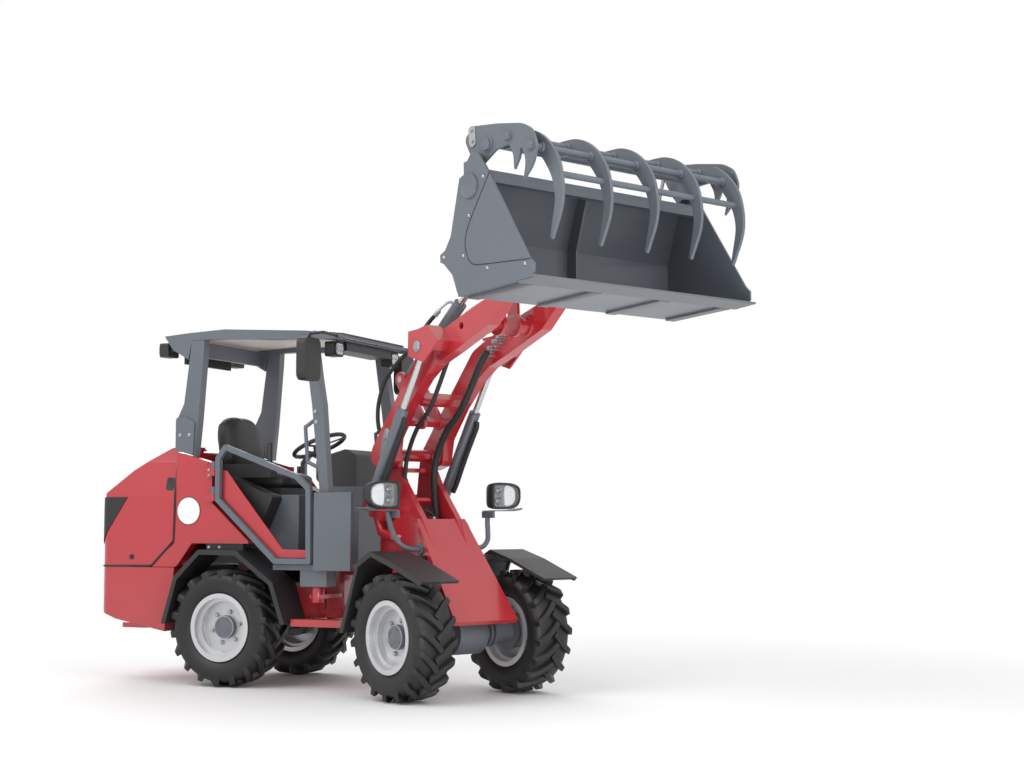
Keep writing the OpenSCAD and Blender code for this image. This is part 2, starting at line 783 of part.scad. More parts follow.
// Bent tube through a list of points
module pipe(path, d) {
    for (i = [0 : len(path) - 2])
        rod(path[i], path[i + 1], d);
    for (i = [1 : len(path) - 2])
        translate(path[i])
            sphere(d = d + 2 * seat_gap);
}

// Straight plate with round ends between two side points
module strap(p, q, half, y0, y1) {
    n = [-(q - p)[1], (q - p)[0]] / norm(q - p) * half;
    slab([p + n, q + n, q - n, p - n], y0, y1);
    bar(p, 2 * half, y0, y1);
    bar(q, 2 * half, y0, y1);
}

module rear_frame() {
    color("firebrick") {
        difference() {
            union() {
                both_sides()
                    box([frame_x[0], frame_y - frame_t / 2, frame_z[0]], [frame_x[1], frame_y + frame_t / 2, frame_z[1]]);
                box([frame_x[0], -frame_y, frame_z[1] - frame_t], [frame_x[1], frame_y, frame_z[1]]);
                box(joint_box_lo, joint_box_hi);
                for (z = [joint_box_lo[2], joint_box_hi[2] - ear_t]) {
                    box([joint_box_hi[0] - ear_t, -ear_r, z], [0, ear_r, z + ear_t]);
                    translate([0, 0, z])
                        cylinder(r = ear_r, h = ear_t);
                }
                both_sides() {
                    box(step_lo, step_hi);
                    box([cab_mount[0] - cab_mount_d / 2, joint_box_hi[1] - frame_t, cab_mount_z[0]],
                        [cab_mount[0] + cab_mount_d / 2, cab_mount[1] + cab_mount_d / 3, cab_mount_z[0] + frame_t]);
                    translate([cab_mount[0], cab_mount[1], cab_mount_z[0] - frame_t])
                        cylinder(d = cab_mount_d, h = cab_mount_z[1] - cab_mount_z[0] + frame_t);
                    for (x = step_hanger_x)
                        box([x, joint_box_hi[1] - step_hanger_t, step_lo[2] + step_hanger_t],
                            [x + 2 * step_hanger_t, step_lo[1] + step_hanger_t, step_hi[2] - step_hanger_t / 2]);
                    for (x = step_hanger_x)
                        box([x, joint_box_hi[1] - step_hanger_t, step_lo[2] + step_hanger_t],
                            [x + 2 * step_hanger_t, joint_box_hi[1] + step_hanger_t, joint_box_lo[2] + 3 * step_hanger_t]);
                }
                box(tow_lo, tow_hi);
                box([tow_hi[0] - 2 * frame_t, -frame_y, tow_hi[2] - frame_t], [frame_x[0] + 2 * frame_t, frame_y, frame_z[0] + frame_t]);
            }
            translate([0, 0, joint_box_lo[2] - ear_t])
                cylinder(d = artic_pin_d + 2 * run_gap, h = joint_box_hi[2]);
            box([tow_lo[0] - tow_depth, 2 * tow_lo[1], (tow_lo[2] + tow_hi[2] - tow_mouth) / 2],
                [tow_lo[0] + tow_depth, 2 * tow_hi[1], (tow_lo[2] + tow_hi[2] + tow_mouth) / 2]);
            translate([tow_lo[0] + tow_pin_inset, 0, tow_lo[2] - tow_mouth])
                cylinder(d = tow_pin_d, h = tow_hi[2]);
        }
    }
}

module engine_block() {
    color("dimgray")
        box(engine_lo, engine_hi);
}

// Axle with its casing, flanges and wheel spindles
module axle(at) {
    both_sides() {
        bar(at, axle_d, 0, flange_face);
        bar(at, axle_flange_d, flange_face - axle_flange_t, flange_face);
        bar(at, spindle_d, 0, spindle_end);
    }
    bar(at, casing_d, -casing_w / 2, casing_w / 2);
}

module rear_axle() {
    color("slategray") {
        axle([rear_axle_x, axle_z]);
        both_sides()
            box([rear_axle_x - axle_d / 2, frame_y - frame_t, axle_z], [rear_axle_x + axle_d / 2, frame_y + frame_t, frame_z[0]]);
    }
}

module rear_ballast() {
    color("firebrick")
        difference() {
            intersection() {
                slab(rounded(ballast_side), -body_half, body_half);
                linear_extrude(hood_back[4][1])
                    rotate(90)
                        polygon(mirrored([for (p = rounded(hood_plan)) [p[1], -p[0]]]));
            }
            box([frame_x[0] - frame_t, -ballast_pocket, 0], [0, ballast_pocket, hood_back[4][1]]);
            box([tow_lo[0], tow_lo[1] - seat_gap, 0], [0, tow_hi[1] + seat_gap, tow_hi[2] + seat_gap]);
            box([tow_hi[0] - 2 * frame_t - seat_gap, -frame_y - seat_gap, 0], [0, frame_y + seat_gap, frame_z[0] + frame_t + seat_gap]);
        }
}

module body_sides() {
    color("firebrick") {
        both_sides()
            slab(panel_side, body_half - body_wall, body_half);
        box([bulkhead[0] - bulkhead[1], -body_half + body_wall, panel_side[5][1]],
            [bulkhead[0], body_half - body_wall, panel_side[0][1] - bulkhead[1] / 2]);
        both_sides()
            for (z = door_hinge_z) {
                translate([door_hinge_x, -door_y, z - door_knuckle_h])
                    cylinder(d = door_pin_d, h = 2 * door_knuckle_h);
                translate([door_hinge_x, -door_y, z - door_knuckle_h])
                    cylinder(d = door_knuckle_d, h = door_knuckle_h - seat_gap);
                box([panel_side[11][0] - door_knuckle_d, -door_y - door_pin_d / 2, z - door_knuckle_h],
                    [door_hinge_x, -body_half + body_wall, z - seat_gap]);
            }
        both_sides()
            bar(hood_hinge, hood_pin_d, hood_hinge_y - hood_knuckle_w, hood_hinge_y + hood_knuckle_w);
        both_sides()
            slab([[bulkhead[0] - bulkhead[1], panel_side[0][1] - body_wall], [bulkhead[0], panel_side[0][1] - body_wall],
                  [bulkhead[0], hood_hinge[1]], [hood_hinge[0], hood_hinge[1] + hood_pin_d / 2],
                  [hood_hinge[0] - hood_pin_d / 2, hood_hinge[1]], [bulkhead[0] - bulkhead[1], panel_side[0][1]]],
                 hood_hinge_y + hood_knuckle_w / 2 + seat_gap, hood_hinge_y + hood_knuckle_w);
    }
}

// Bent skin along a crest line, thickness inwards
module guard(crest, centre) {
    inner = [for (p = crest) p - unit(p - centre) * guard_t];
    lip = [for (p = crest) p - unit(p - centre) * guard_t * lip_share];
    slab(concat(crest, [for (i = [len(inner) - 1 : -1 : 0]) inner[i]]), guard_y[0], guard_y[1]);
    slab(concat(crest, [for (i = [len(lip) - 1 : -1 : 0]) lip[i]]), guard_y[1] - guard_lip, guard_y[1]);
}

module rear_mudguards() {
    color("dimgray")
        both_sides() {
            guard(rear_guard, [rear_axle_x, axle_z]);
            box([guard_foot_x[0], body_half - body_wall + guard_t / 2, rear_guard[2][1] - guard_t / 2],
                [guard_foot_x[1], body_half - guard_t / 2, panel_side[7][1]]);
        }
}

module front_mudguards() {
    color("dimgray")
        on_front()
            both_sides() {
                guard(front_guard, [front_axle_x, axle_z]);
                box([guard_stay_x[0], cheek_y[1], guard_stay_z[0]], [guard_stay_x[1], guard_y[0] + guard_t, guard_stay_z[1]]);
            }
}

module cab_tub() {
    color("lightslategray") {
        box([floor_wide_x, -floor_half, floor_z[0]], [floor_x[1], floor_half, floor_z[1]]);
        box([floor_x[0], seat_box_lo[1], floor_z[0]], [floor_x[1], seat_box_hi[1], floor_z[1]]);
        box([floor_x[1] - wall_t, -wall_half, floor_z[0]], [floor_x[1], wall_half, wall_top]);
        both_sides() {
            box([cab_mount[0] - cab_foot_half[0], cab_mount[1] - cab_foot_half[1], cab_mount_z[1] + seat_gap],
                [cab_mount[0] + cab_foot_half[0], cab_mount[1] + cab_foot_half[1], floor_z[1]]);
            box(side_box_lo, side_box_hi);
            box(shelf_lo, [shelf_hi[0], body_half - body_wall - seat_gap, shelf_hi[1]]);
        }
        difference() {
            box(seat_box_lo, seat_box_hi);
            box(seat_box_lo + seat_box_wall * [1, 1, -1], seat_box_hi - seat_box_wall * [1, 1, 1]);
        }
    }
}

module dashboard() {
    color("dimgray") {
        slab(rounded(dash_side), -dash_half, dash_half);
        translate(wheel_centre)
            rotate([0, -wheel_rake, 0]) {
                rotate_extrude()
                    polygon([for (i = [0 : ring_sides - 1])
                        let (t = (i + ring_phase_share) * 360 / ring_sides)
                        [wheel_ring_d / 2, 0] + wheel_rim_d / 2 * [cos(t), sin(t)]]);
                translate([0, 0, -column_len])
                    cylinder(d = column_d, h = column_len - wheel_rim_d / 2);
                translate([0, 0, -wheel_rim_d])
                    cylinder(d = wheel_boss_d, h = wheel_rim_d);
                for (a = [30, 150, 270])
                    rotate(a)
                        translate([wheel_boss_d / 4, -wheel_rim_d * spoke_shares[2] / 2, -wheel_rim_d * spoke_shares[0]])
                            cube([wheel_ring_d / 2 - wheel_boss_d / 4, wheel_rim_d * spoke_shares[2], wheel_rim_d * spoke_shares[1]]);
            }
    }
}

module seat_carrier() {
    color("dimgray") {
        both_sides()
            slab(rounded(console_side), seat_box_hi[1] + seat_gap, body_half - body_wall - console_gap);
        box(carrier_lo, carrier_hi);
        box([carrier_lo[0], arm_box_lo[1], carrier_lo[2] + seat_gap], [carrier_lo[0] + stick_d * 2, arm_box_hi[1], arm_box_hi[2]]);
        box([carrier_lo[0], 0, carrier_lo[2]], [carrier_lo[0] + stick_d * 2, arm_box_hi[1], carrier_hi[2]]);
        mirror([0, 1, 0])
            box([carrier_lo[0], 0, carrier_lo[2]], [carrier_lo[0] + stick_d * 2, arm_box_hi[1], carrier_hi[2]]);
        mirror([0, 1, 0])
            box([carrier_lo[0], arm_box_lo[1], carrier_lo[2]], [carrier_lo[0] + stick_d * 2, arm_box_hi[1], arm_box_hi[2]]);
        mirror([0, 1, 0])
            box([carrier_lo[0], arm_box_lo[1], arm_box_lo[2]], arm_box_hi);
        translate([arm_box_hi[0] - stick_d, -(arm_box_lo[1] + arm_box_hi[1]) / 2, arm_box_hi[2] - stick_d])
            cylinder(d = stick_d, h = stick_h);
    }
}

module seat_cushion() {
    color("dimgray")
        slab(rounded(cushion_side), -seat_half, seat_half);
}

module seat_back() {
    color("dimgray")
        slab(rounded(back_side), -seat_half, seat_half);
}

module rear_posts() {
    color("lightslategray")
        both_sides()
            {
                slab(rear_post, post_y[0], post_y[1]);
                slab(rounded(post_bracket), post_y[1] - seat_gap, post_y[1] + bracket_t);
            }
}

module front_posts() {
    color("lightslategray")
        both_sides() {
            slab(front_post, post_y[0], post_y[1]);
            pipe([for (p = handle_path) side_point(p, (post_y[0] + post_y[1]) / 2)], handle_d);
        }
}

module roof_rails() {
    color("lightslategray") {
        both_sides()
            slab(roof_rail, post_y[0], post_y[1]);
        box([roof_front_x[0], -post_y[1], visor_hi[2] + seat_gap], [roof_front_x[1], post_y[1], visor_hi[2] + roof_beam_h]);
        box([roof_rear_x[0], -post_y[0] - seat_gap, roof_rear_z[0]], [roof_rear_x[1], post_y[0] + seat_gap, roof_rear_z[1]]);
    }
}

module roof_panel() {
    color("ivory")
        slab(roof_skin, -post_y[0] + seat_gap, post_y[0] - seat_gap);
}

module roof_visor() {
    color("dimgray")
        box(visor_lo, visor_hi);
    color("dimgray")
        for (i = [0 : louvre_count - 1])
            let (x = louvre_x[0] + (louvre_x[1] - louvre_x[0]) * i / (louvre_count - 1))
            let (z = louvre_z[0] + (louvre_z[1] - louvre_z[0]) * i / (louvre_count - 1))
            slab([[x, z], [x + louvre_w, z + louvre_drop], [x + louvre_w, z + louvre_h], [x, z + louvre_h]],
                 -post_y[0] + louvre_w, post_y[0] - louvre_w);
}

// Lamp boxes, front pair facing forward and rear pair facing back
module work_lamp_box(at, size) {
    round_box(at - size / 2, at + size / 2, work_round);
}

// Box with its four edges along X rounded
module round_box(lo, hi, r) {
    translate([lo[0], 0, 0])
        rotate([90, 0, 90])
            linear_extrude(hi[0] - lo[0])
                polygon(rounded([[lo[1], lo[2], r], [hi[1], lo[2], r], [hi[1], hi[2], r], [lo[1], hi[2], r]]));
}

module work_lamps() {
    color("dimgray")
        both_sides() {
            work_lamp_box(front_lamp, work_lamp);
            work_lamp_box(rear_lamp, work_lamp);
            box([front_lamp[0] + work_lamp[0] / 4 - roof_beam_h, front_lamp[1] - roof_beam_h, front_lamp[2]],
                [front_lamp[0] + work_lamp[0] / 4 + roof_beam_h, front_lamp[1] + roof_beam_h, visor_hi[2] + seat_gap]);
            box([rear_lamp[0], rear_lamp[1] + roof_beam_h, rear_lamp[2] - roof_beam_h],
                [roof_rail[1][0] + 2 * roof_beam_h, post_y[0] - seat_gap, rear_lamp[2] + roof_beam_h]);
        }
}

module work_lamp_lenses() {
    color("white")
        both_sides() {
            work_lamp_box(front_lamp + [(work_lamp[0] + lens_t) / 2, 0, 0],
                          [lens_t, work_lamp[1] - 2 * lens_margin, work_lamp[2] - 2 * lens_margin]);
            work_lamp_box(rear_lamp - [(work_lamp[0] + lens_t) / 2, 0, 0],
                          [lens_t, work_lamp[1] - 2 * lens_margin, work_lamp[2] - 2 * lens_margin]);
        }
}

module mirrors() {
    color("dimgray")
        both_sides() {
            round_box(mirror_at - mirror_box / 2, mirror_at + mirror_box / 2, mirror_round);
            pipe(concat(mirror_stay, [mirror_at]), mirror_stay_d);
        }
}

module plate_holder() {
    color("dimgray") {
        box(plate_lo, plate_hi);
        both_sides()
            box([plate_hi[0] - seat_gap, plate_hi[1] - plate_arm_w, plate_hi[2] - plate_arm_w / 2],
                [roof_rear_x[0], plate_hi[1], plate_hi[2]]);
    }
}

module hood_form(inset) {
    intersection() {
        slab(shrunk(rounded(hood_side), inset), -body_half + inset, body_half - inset);
        translate([2 * hood_side[4][0], 0, 0])
            rotate([90, 0, 90])
                linear_extrude(-2 * hood_side[4][0])
                    polygon(shrunk(mirrored(rounded(hood_back)), inset));
        linear_extrude(hood_back[4][1])
            rotate(90)
                polygon(shrunk(mirrored([for (p = rounded(hood_plan)) [p[1], -p[0]]]), inset));
    }
}

module hood_shell() {
    color("firebrick") {
        difference() {
            hood_form(0);
            difference() {
                hood_form(hood_wall);
                box([hood_side[0][0] - hood_wall, -body_half, hood_side[1][1] - 3 * hood_wall], [0, body_half, hood_side[1][1]]);
            }
            box([engine_lo[0] - 2 * hood_wall, -body_half + 3 * hood_wall, 0], [0, body_half - 3 * hood_wall, engine_hi[2] + 2 * hood_wall]);
            both_sides()
                bar(hood_hinge, hood_pin_d + 8 * hood_pin_d, hood_hinge_y + hood_knuckle_w / 2, hood_hinge_y + 2 * hood_knuckle_w);
        }
        both_sides()
            difference() {
                slab([[hood_side[1][0], hood_side[1][1] - 2 * hood_wall], [hood_side[0][0] - seat_gap, hood_side[0][1] - hood_wall],
                      [hood_hinge[0] + hood_pin_d, hood_hinge[1]], [hood_hinge[0] + hood_pin_d, hood_hinge[1] + hood_pin_d],
                      [hood_hinge[0] - hood_pin_d, hood_hinge[1] + hood_pin_d]],
                     hood_hinge_y - hood_knuckle_w / 2, hood_hinge_y + hood_knuckle_w / 2 - seat_gap);
                bar(hood_hinge, hood_pin_d + 2 * run_gap, 0, body_half);
            }
    }
}

module hood_grille() {
    color("dimgray")
        difference() {
            intersection() {
                difference() {
                    hood_form(-grille_t);
                    hood_form(-seat_gap / 2);
                }
                union() {
                    both_sides()
                        slab(grille_side, body_half - grille_in, body_half + grille_t);
                    box([hood_plan[0][0], -rear_grille_half, rear_grille_z[0]], [hood_side[2][0], rear_grille_half, rear_grille_z[1]]);
                }
            }
            for (z = [rear_grille_z[0] + slot_pitch : slot_pitch : rear_grille_z[1] - slot_pitch])
                box([2 * hood_plan[0][0], -rear_grille_half + slot_pitch, z], [hood_side[2][0], rear_grille_half - slot_pitch, z + slot_h]);
        }
}

module door_frame() {
    for (i = [0 : len(door_path) - 2])
        strap(door_path[i], door_path[i + 1], door_tube_d / 2, -door_y - door_tube_d / 2, -door_y + door_tube_d / 2);
    for (z = door_hinge_z)
        difference() {
            union() {
                translate([door_hinge_x, -door_y, z])
                    cylinder(d = door_knuckle_d, h = door_knuckle_h);
                box([door_hinge_x, -door_y - door_pin_d / 2, z], [door_path[0][0], -door_y + door_pin_d / 2, z + door_knuckle_h]);
            }
            translate([door_hinge_x, -door_y, z - door_knuckle_h])
                cylinder(d = door_pin_d + 2 * run_gap, h = 3 * door_knuckle_h);
        }
}

module door_skin() {
    slab(door_panel, -door_y + door_tube_d / 2 + seat_gap / 2, -door_y + door_tube_d / 2 + door_panel_t);
}

module door_right_frame() {
    color("lightslategray")
        door_frame();
}

module door_left_frame() {
    color("lightslategray")
        mirror([0, 1, 0])
            door_frame();
}

module door_right_panel() {
    color("firebrick")
        door_skin();
}

module door_left_panel() {
    color("firebrick")
        mirror([0, 1, 0])
            door_skin();
}

// Tapered wedge between the tower plates and the front axle
module wedge() {
    polyhedron(
        points = [
            [wedge_x[0], -wedge_half[1], wedge_z[1]], [wedge_x[0], wedge_half[1], wedge_z[1]],
            [wedge_x[1], wedge_half[0], wedge_z[0]], [wedge_x[1], -wedge_half[0], wedge_z[0]],
            [wedge_x[0] - wedge_t, -wedge_half[1], wedge_z[1] - wedge_t], [wedge_x[0] - wedge_t, wedge_half[1], wedge_z[1] - wedge_t],
            [wedge_x[1] - wedge_t, wedge_half[0], wedge_z[0] - wedge_t], [wedge_x[1] - wedge_t, -wedge_half[0], wedge_z[0] - wedge_t]
        ],
        faces = [[0, 1, 2, 3], [7, 6, 5, 4], [4, 5, 1, 0], [6, 7, 3, 2], [5, 6, 2, 1], [7, 4, 0, 3]]
    );
}

module front_frame() {
    color("firebrick")
        on_front()
            difference() {
                union() {
                    both_sides() {
                        slab(rounded(tower_side), tower_y[0], tower_y[1]);
                        slab(cheek_side, cheek_y[0] - seat_gap, cheek_y[1]);
                        slab(base_plate, tower_y[1] - seat_gap, lift_y - lift_eye_d / 2 - 2 * seat_gap);
                        bar(lift_base, lift_pin_d, tower_y[0], lift_y + lift_eye_d / 2);
                    }
                    wedge();
                    pipe(bent_pipe, bent_pipe_d);
                    box([web_x[0], -tower_y[1], web_z - web_t], [web_x[1], tower_y[1], web_z]);
                    bar(tower_tube, tower_tube_d, -tower_y[1], tower_y[1]);
                    bar(arm_pivot, arm_tube_d, -tower_y[1], tower_y[1]);
                    for (z = [joint_box_lo[2] + ear_t + 10 * seat_gap, joint_box_hi[2] - ear_t - tongue_t - 10 * seat_gap]) {
                        box([0, -tongue_r, z], [tongue_x, tongue_r, z + tongue_t]);
                        box([tongue_x - tongue_r, -tower_y[1], z], [tongue_x, tower_y[1], z + tongue_t]);
                        translate([0, 0, z])
                            cylinder(r = tongue_r, h = tongue_t);
                    }
                    translate([0, 0, joint_box_lo[2] - seat_gap])
                        cylinder(d = artic_pin_d, h = joint_box_hi[2] - joint_box_lo[2] + 2 * seat_gap);
                    box([front_axle_x - axle_d / 2, -cheek_y[1], axle_z + axle_d / 2 + seat_gap],
                        [front_axle_x + axle_d / 2, cheek_y[1], cheek_side[0][1] + wedge_t]);
                }
                bar(arm_pivot, arm_pin_d + 2 * run_gap, -lift_y, lift_y);
                both_sides()
                    bar([front_axle_x, axle_z], casing_d + 8 * seat_gap, 0, casing_w / 2 + 4 * seat_gap);
            }
}

module front_axle() {
    color("slategray")
        on_front() {
            axle([front_axle_x, axle_z]);
            both_sides()
                box([front_axle_x - axle_d / 3, cheek_y[0], axle_z], [front_axle_x + axle_d / 3, cheek_y[1], axle_z + axle_d / 2 + seat_gap]);
        }
}

module headlamp_stays() {
    color("lightslategray")
        on_front()
            both_sides() {
                pipe(lamp_stay, lamp_stay_d);
                bar([lamp_stay[0][0], lamp_stay[0][2]], lamp_foot_d, lamp_stay[0][1], lamp_stay[0][1] + lamp_foot_t);
                box(lamp_shelf_lo, lamp_shelf_hi);
            }
}

module headlamps() {
    color("dimgray")
        on_front()
            both_sides()
                round_box([headlamp_lo[0], headlamp_lo[1], lamp_shelf_hi[2]], headlamp_hi, headlamp_round);
}

module headlamp_lenses() {
    color("white")
        on_front()
            both_sides()
                round_box([headlamp_hi[0], headlamp_lo[1] + lens_margin, headlamp_lo[2] + lens_margin],
                          headlamp_hi + [lens_t, -lens_margin, -lens_margin], headlamp_round - lens_margin);
}

module lift_arm() {
    color("firebrick")
        on_front()
            difference() {
                union() {
                    both_sides() {
                        slab(rounded(beam_side), beam_y[0], beam_y[1]);
                        bar(arm_pivot, 2 * arm_tube_d, tower_y[1] + 2 * seat_gap, beam_y[1] + 2 * seat_gap);
                        slab(clevis_side, beam_y[1] - seat_gap, clevis_y[1]);
                        slab(clevis_cheek, clevis_y[0], clevis_y[1]);
                    }
                    bar(arm_pivot, arm_pin_d, -beam_y[1], beam_y[1]);
                    for (r = [rung_a, rung_b])
                        translate([r[0], -beam_y[0], r[1]])
                            rotate([0, -rung_slope, 0])
                                translate([-r[2] / 2, 0, -r[2] / 2])
                                    cube([r[2], 2 * beam_y[0], r[2]]);
                    both_sides()
                        bar(lever_pivot, lever_tube_d, lever_y[0] - 4 * seat_gap, beam_y[0]);
                    both_sides()
                        bar(lever_pivot, lever_collar_d, beam_y[0] - lever_collar_w, beam_y[0] + seat_gap);
                    both_sides()
                        strap(xy(rung_a), tilt_base, tilt_lug_r, tilt_lug_y[0], tilt_lug_y[1]);
                }
                bar(tilt_base, tilt_pin_d + 2 * run_gap, -beam_y[0], beam_y[0]);
                bar(arm_hole, arm_hole_d, -beam_y[1] - seat_gap, beam_y[1] + seat_gap);
                bar(bucket_pivot, bucket_pin_d + 2 * run_gap, -lift_y, lift_y);
            }
}

// Barrel with its base eye, from the pin at p towards q
module barrel(p, q, y, d, len, eye_d, eye_half, pin_d) {
    difference() {
        union() {
            bar(p, eye_d, y - eye_half, y + eye_half);
            rod(side_point(along(p, q, eye_d / 3), y), side_point(along(p, q, len), y), d);
        }
        bar(p, pin_d + 2 * run_gap, y - 2 * eye_half, y + 2 * eye_half);
    }
}

// Bore of a barrel for its rod
module barrel_bore(p, q, y, d, from, len) {
    rod(side_point(along(p, q, from), y), side_point(along(p, q, 2 * len), y), d);
}

// Rod with its end eye at q
module piston(p, q, y, d, from, eye_d, eye_half) {
    rod(side_point(along(p, q, from), y), side_point(along(q, p, eye_d / 4), y), d);
    bar(q, eye_d, y - eye_half, y + eye_half);
}

rod_start_share = 0.2;

module lift_barrels() {
    color("firebrick")
        on_front()
            both_sides()
                difference() {
                    barrel(lift_base, lift_eye, lift_y, lift_barrel_d, lift_barrel_len, lift_eye_d, lift_barrel_d / 2, lift_pin_d);
                    barrel_bore(lift_base, lift_eye, lift_y, lift_rod_d + 2 * run_gap, lift_barrel_len * rod_start_share, lift_barrel_len);
                }
}

module lift_rods() {
    color("silver")
        on_front()
            both_sides()
                piston(lift_base, lift_eye, lift_y, lift_rod_d, lift_rod_from, lift_eye_d, lift_barrel_d / 2);
}

module tilt_pin() {
    color("silver")
        on_front()
            bar(tilt_base, tilt_pin_d, -tilt_lug_y[1], tilt_lug_y[1]);
}

module tilt_barrel() {
    color("firebrick")
        on_front()
            difference() {
                barrel(tilt_base, lever_top, 0, tilt_barrel_d, tilt_barrel_len, tilt_eye_d, tilt_eye_half, tilt_pin_d);
                barrel_bore(tilt_base, lever_top, 0, tilt_rod_d + 2 * run_gap, tilt_barrel_len * rod_start_share, tilt_barrel_len);
            }
}

module tilt_rod() {
    color("silver")
        on_front()
            piston(tilt_base, lever_top, 0, tilt_rod_d, tilt_barrel_len * 2 * rod_start_share, tilt_eye_d, tilt_eye_half);
}

module lever_bush() {
    color("goldenrod")
        on_front()
            both_sides()
                difference() {
                    bar(lever_pivot, lever_bush_d, lever_y[0], lever_y[1]);
                    bar(lever_pivot, lever_tube_d + 2 * run_gap, -beam_y[0], beam_y[0]);
                }
}

module tilt_lever() {
    color("slategray")
        on_front()
            difference() {
                union() {
                    both_sides() {
                        strap(lever_pivot, lever_mid, lever_half, lever_y[0], lever_y[1]);
                        strap(lever_mid, lever_top, lever_half, lever_y[0], lever_y[1]);
                    }
                    both_sides()
                        bar(lever_pivot, lever_hub_d, lever_y[0], lever_y[1]);
                }
                bar(lever_pivot, lever_bush_d + 2 * run_gap, -beam_y[0], beam_y[0]);
                bar(lever_mid, tilt_pin_d + 2 * run_gap, -beam_y[0], beam_y[0]);
            }
}

module link_pin() {
    color("silver")
        on_front()
            bar(lever_mid, tilt_pin_d, -lever_y[1], lever_y[1]);
}

module tilt_link() {
    color("slategray")
        on_front()
            difference() {
                union() {
                    strap(lever_mid, hitch_top, link_h / 2, -link_half, link_half);
                    for (p = [lever_mid, hitch_top])
                        bar(p, link_eye_d, -link_half, link_half);
                }
                for (p = [lever_mid, hitch_top])
                    bar(p, tilt_pin_d + 2 * run_gap, -beam_y[0], beam_y[0]);
            }
}

module hitch_pins() {
    color("silver")
        on_front()
            both_sides()
                bar(bucket_pivot, bucket_pin_d, hitch_ear_y[0], beam_y[1]);
}

module quick_hitch() {
    color("slategray")
        on_front()
            difference() {
                union() {
                    box([hitch_x[0], -hitch_half, hitch_z[0]], [hitch_x[1], hitch_half, hitch_z[0] + hitch_bar]);
                    box([hitch_x[0], -hitch_half, hitch_z[1] - hitch_bar], [hitch_x[1], hitch_half, hitch_z[1]]);
                    both_sides() {
                        box([hitch_x[0], hitch_half - hitch_bar, hitch_z[0]], [hitch_x[1], hitch_half, hitch_z[1]]);
                        box([hitch_x[0], link_ear_y[0], hitch_z[0]], [hitch_x[1], hitch_ear_y[1], hitch_z[1]]);
                        strap(bucket_pivot, [hitch_x[1] - hitch_ear_r, bucket_pivot[1]], hitch_ear_r, hitch_ear_y[0], hitch_ear_y[1]);
                        strap(hitch_top, [hitch_x[1] - hitch_ear_r, hitch_top[1]], hitch_ear_r, link_ear_y[0], link_ear_y[1]);
                    }
                    bar(hitch_top, tilt_pin_d, -link_ear_y[1], link_ear_y[1]);
                }
                bar(bucket_pivot, bucket_pin_d + 2 * run_gap, -lift_y, lift_y);
            }
}

module bucket_shell() {
    color("slategray")
        on_front()
            difference() {
                union() {
                    slab(concat(shell_out, shell_in), -bucket_half + side_t / 2, bucket_half - side_t / 2);
                    both_sides()
                        slab(bucket_side, bucket_half - side_t, bucket_half);
                    slab(rib_side, -rib_t / 2, rib_t / 2);
                    box([top_bar_lo[0], -bucket_half + side_t / 2, top_bar_lo[1]], [top_bar_hi[0], bucket_half - side_t / 2, top_bar_hi[1] + side_t / 2]);
                    both_sides() {
                        slab(grab_lug, grab_lug_y[0], grab_lug_y[1]);
                        bar(grab_base, grab_cyl_pin_d, grab_lug_y[0], bucket_half);
                    }
                }
                bar(grab_pivot, grab_pin_d + 2 * run_gap, -2 * bucket_half, 2 * bucket_half);
            }
}

module cutting_edge() {
    color("dimgray")
        on_front() {
            slab(edge_side, -bucket_half, bucket_half);
            for (y = wear_y)
                slab(wear_side, y - wear_w / 2, y + wear_w / 2);
        }
}

module grab_frame() {
    color("slategray")
        on_front() {
            both_sides() {
                slab(rounded(end_plate), end_plate_y[0], end_plate_y[1]);
                bar(grab_pivot, grab_pin_d, end_plate_y[0], bucket_half);
                bar(grab_pivot, 2 * grab_pin_d, end_plate_y[0], bucket_half - side_t - 4 * seat_gap);
            }
            bar(torsion, torsion_d, -end_plate_y[0] - seat_gap, end_plate_y[0] + seat_gap);
            for (y = tine_y)
                slab(rounded(tine_side), y - tine_t / 2, y + tine_t / 2);
            bar(grab_bar, grab_bar_d, tine_y[0], tine_y[4]);
        }
}

module grab_barrels() {
    color("dimgray")
        on_front()
            both_sides()
                difference() {
                    barrel(grab_base, grab_eye, grab_cyl_y, grab_barrel_d, grab_barrel_len, grab_eye_d, grab_eye_half, grab_cyl_pin_d);
                    barrel_bore(grab_base, grab_eye, grab_cyl_y, grab_rod_d + 2 * run_gap, grab_barrel_len * rod_start_share, grab_barrel_len);
                }
}

module grab_rods() {
    color("silver")
        on_front()
            both_sides()
                piston(grab_base, grab_eye, grab_cyl_y, grab_rod_d, grab_barrel_len * 3 * rod_start_share, grab_eye_d, grab_eye_half);
}

// Wheel of revolution about Y, w is outwards on the left side
module lathe(pts) {
    rotate([-90, 0, 0])
        rotate_extrude($fn = 96)
            polygon(pts);
}

module tyre() {
    r = tyre_d / 2 - lug_h;
    bead = rim_seat_d / 2 + seat_gap;
    half = rim_w / 2 - rim_wall - seat_gap;
    lip = rim_flange_d / 2 + rim_wall;
    right = [
        [bead, half], [lip, half], [lip + rim_wall, tyre_w * crown_shares[0]], [(lip + r) / 2, tyre_w * crown_shares[1]],
        [r - 4 * rim_wall, tyre_w * crown_shares[2]], [r - rim_wall / 2, tyre_w * crown_shares[3]], [r, tyre_w * crown_shares[4]]
    ];
    lathe(concat(right, [for (i = [len(right) - 1 : -1 : 0]) [right[i][0], -right[i][1]]]));
    for (half = [0, 1])
        mirror([0, half, 0])
            for (i = [0 : lug_count - 1])
                rotate([0, (i + half * lug_stagger_share) * 360 / lug_count, 0])
                    lug();
}

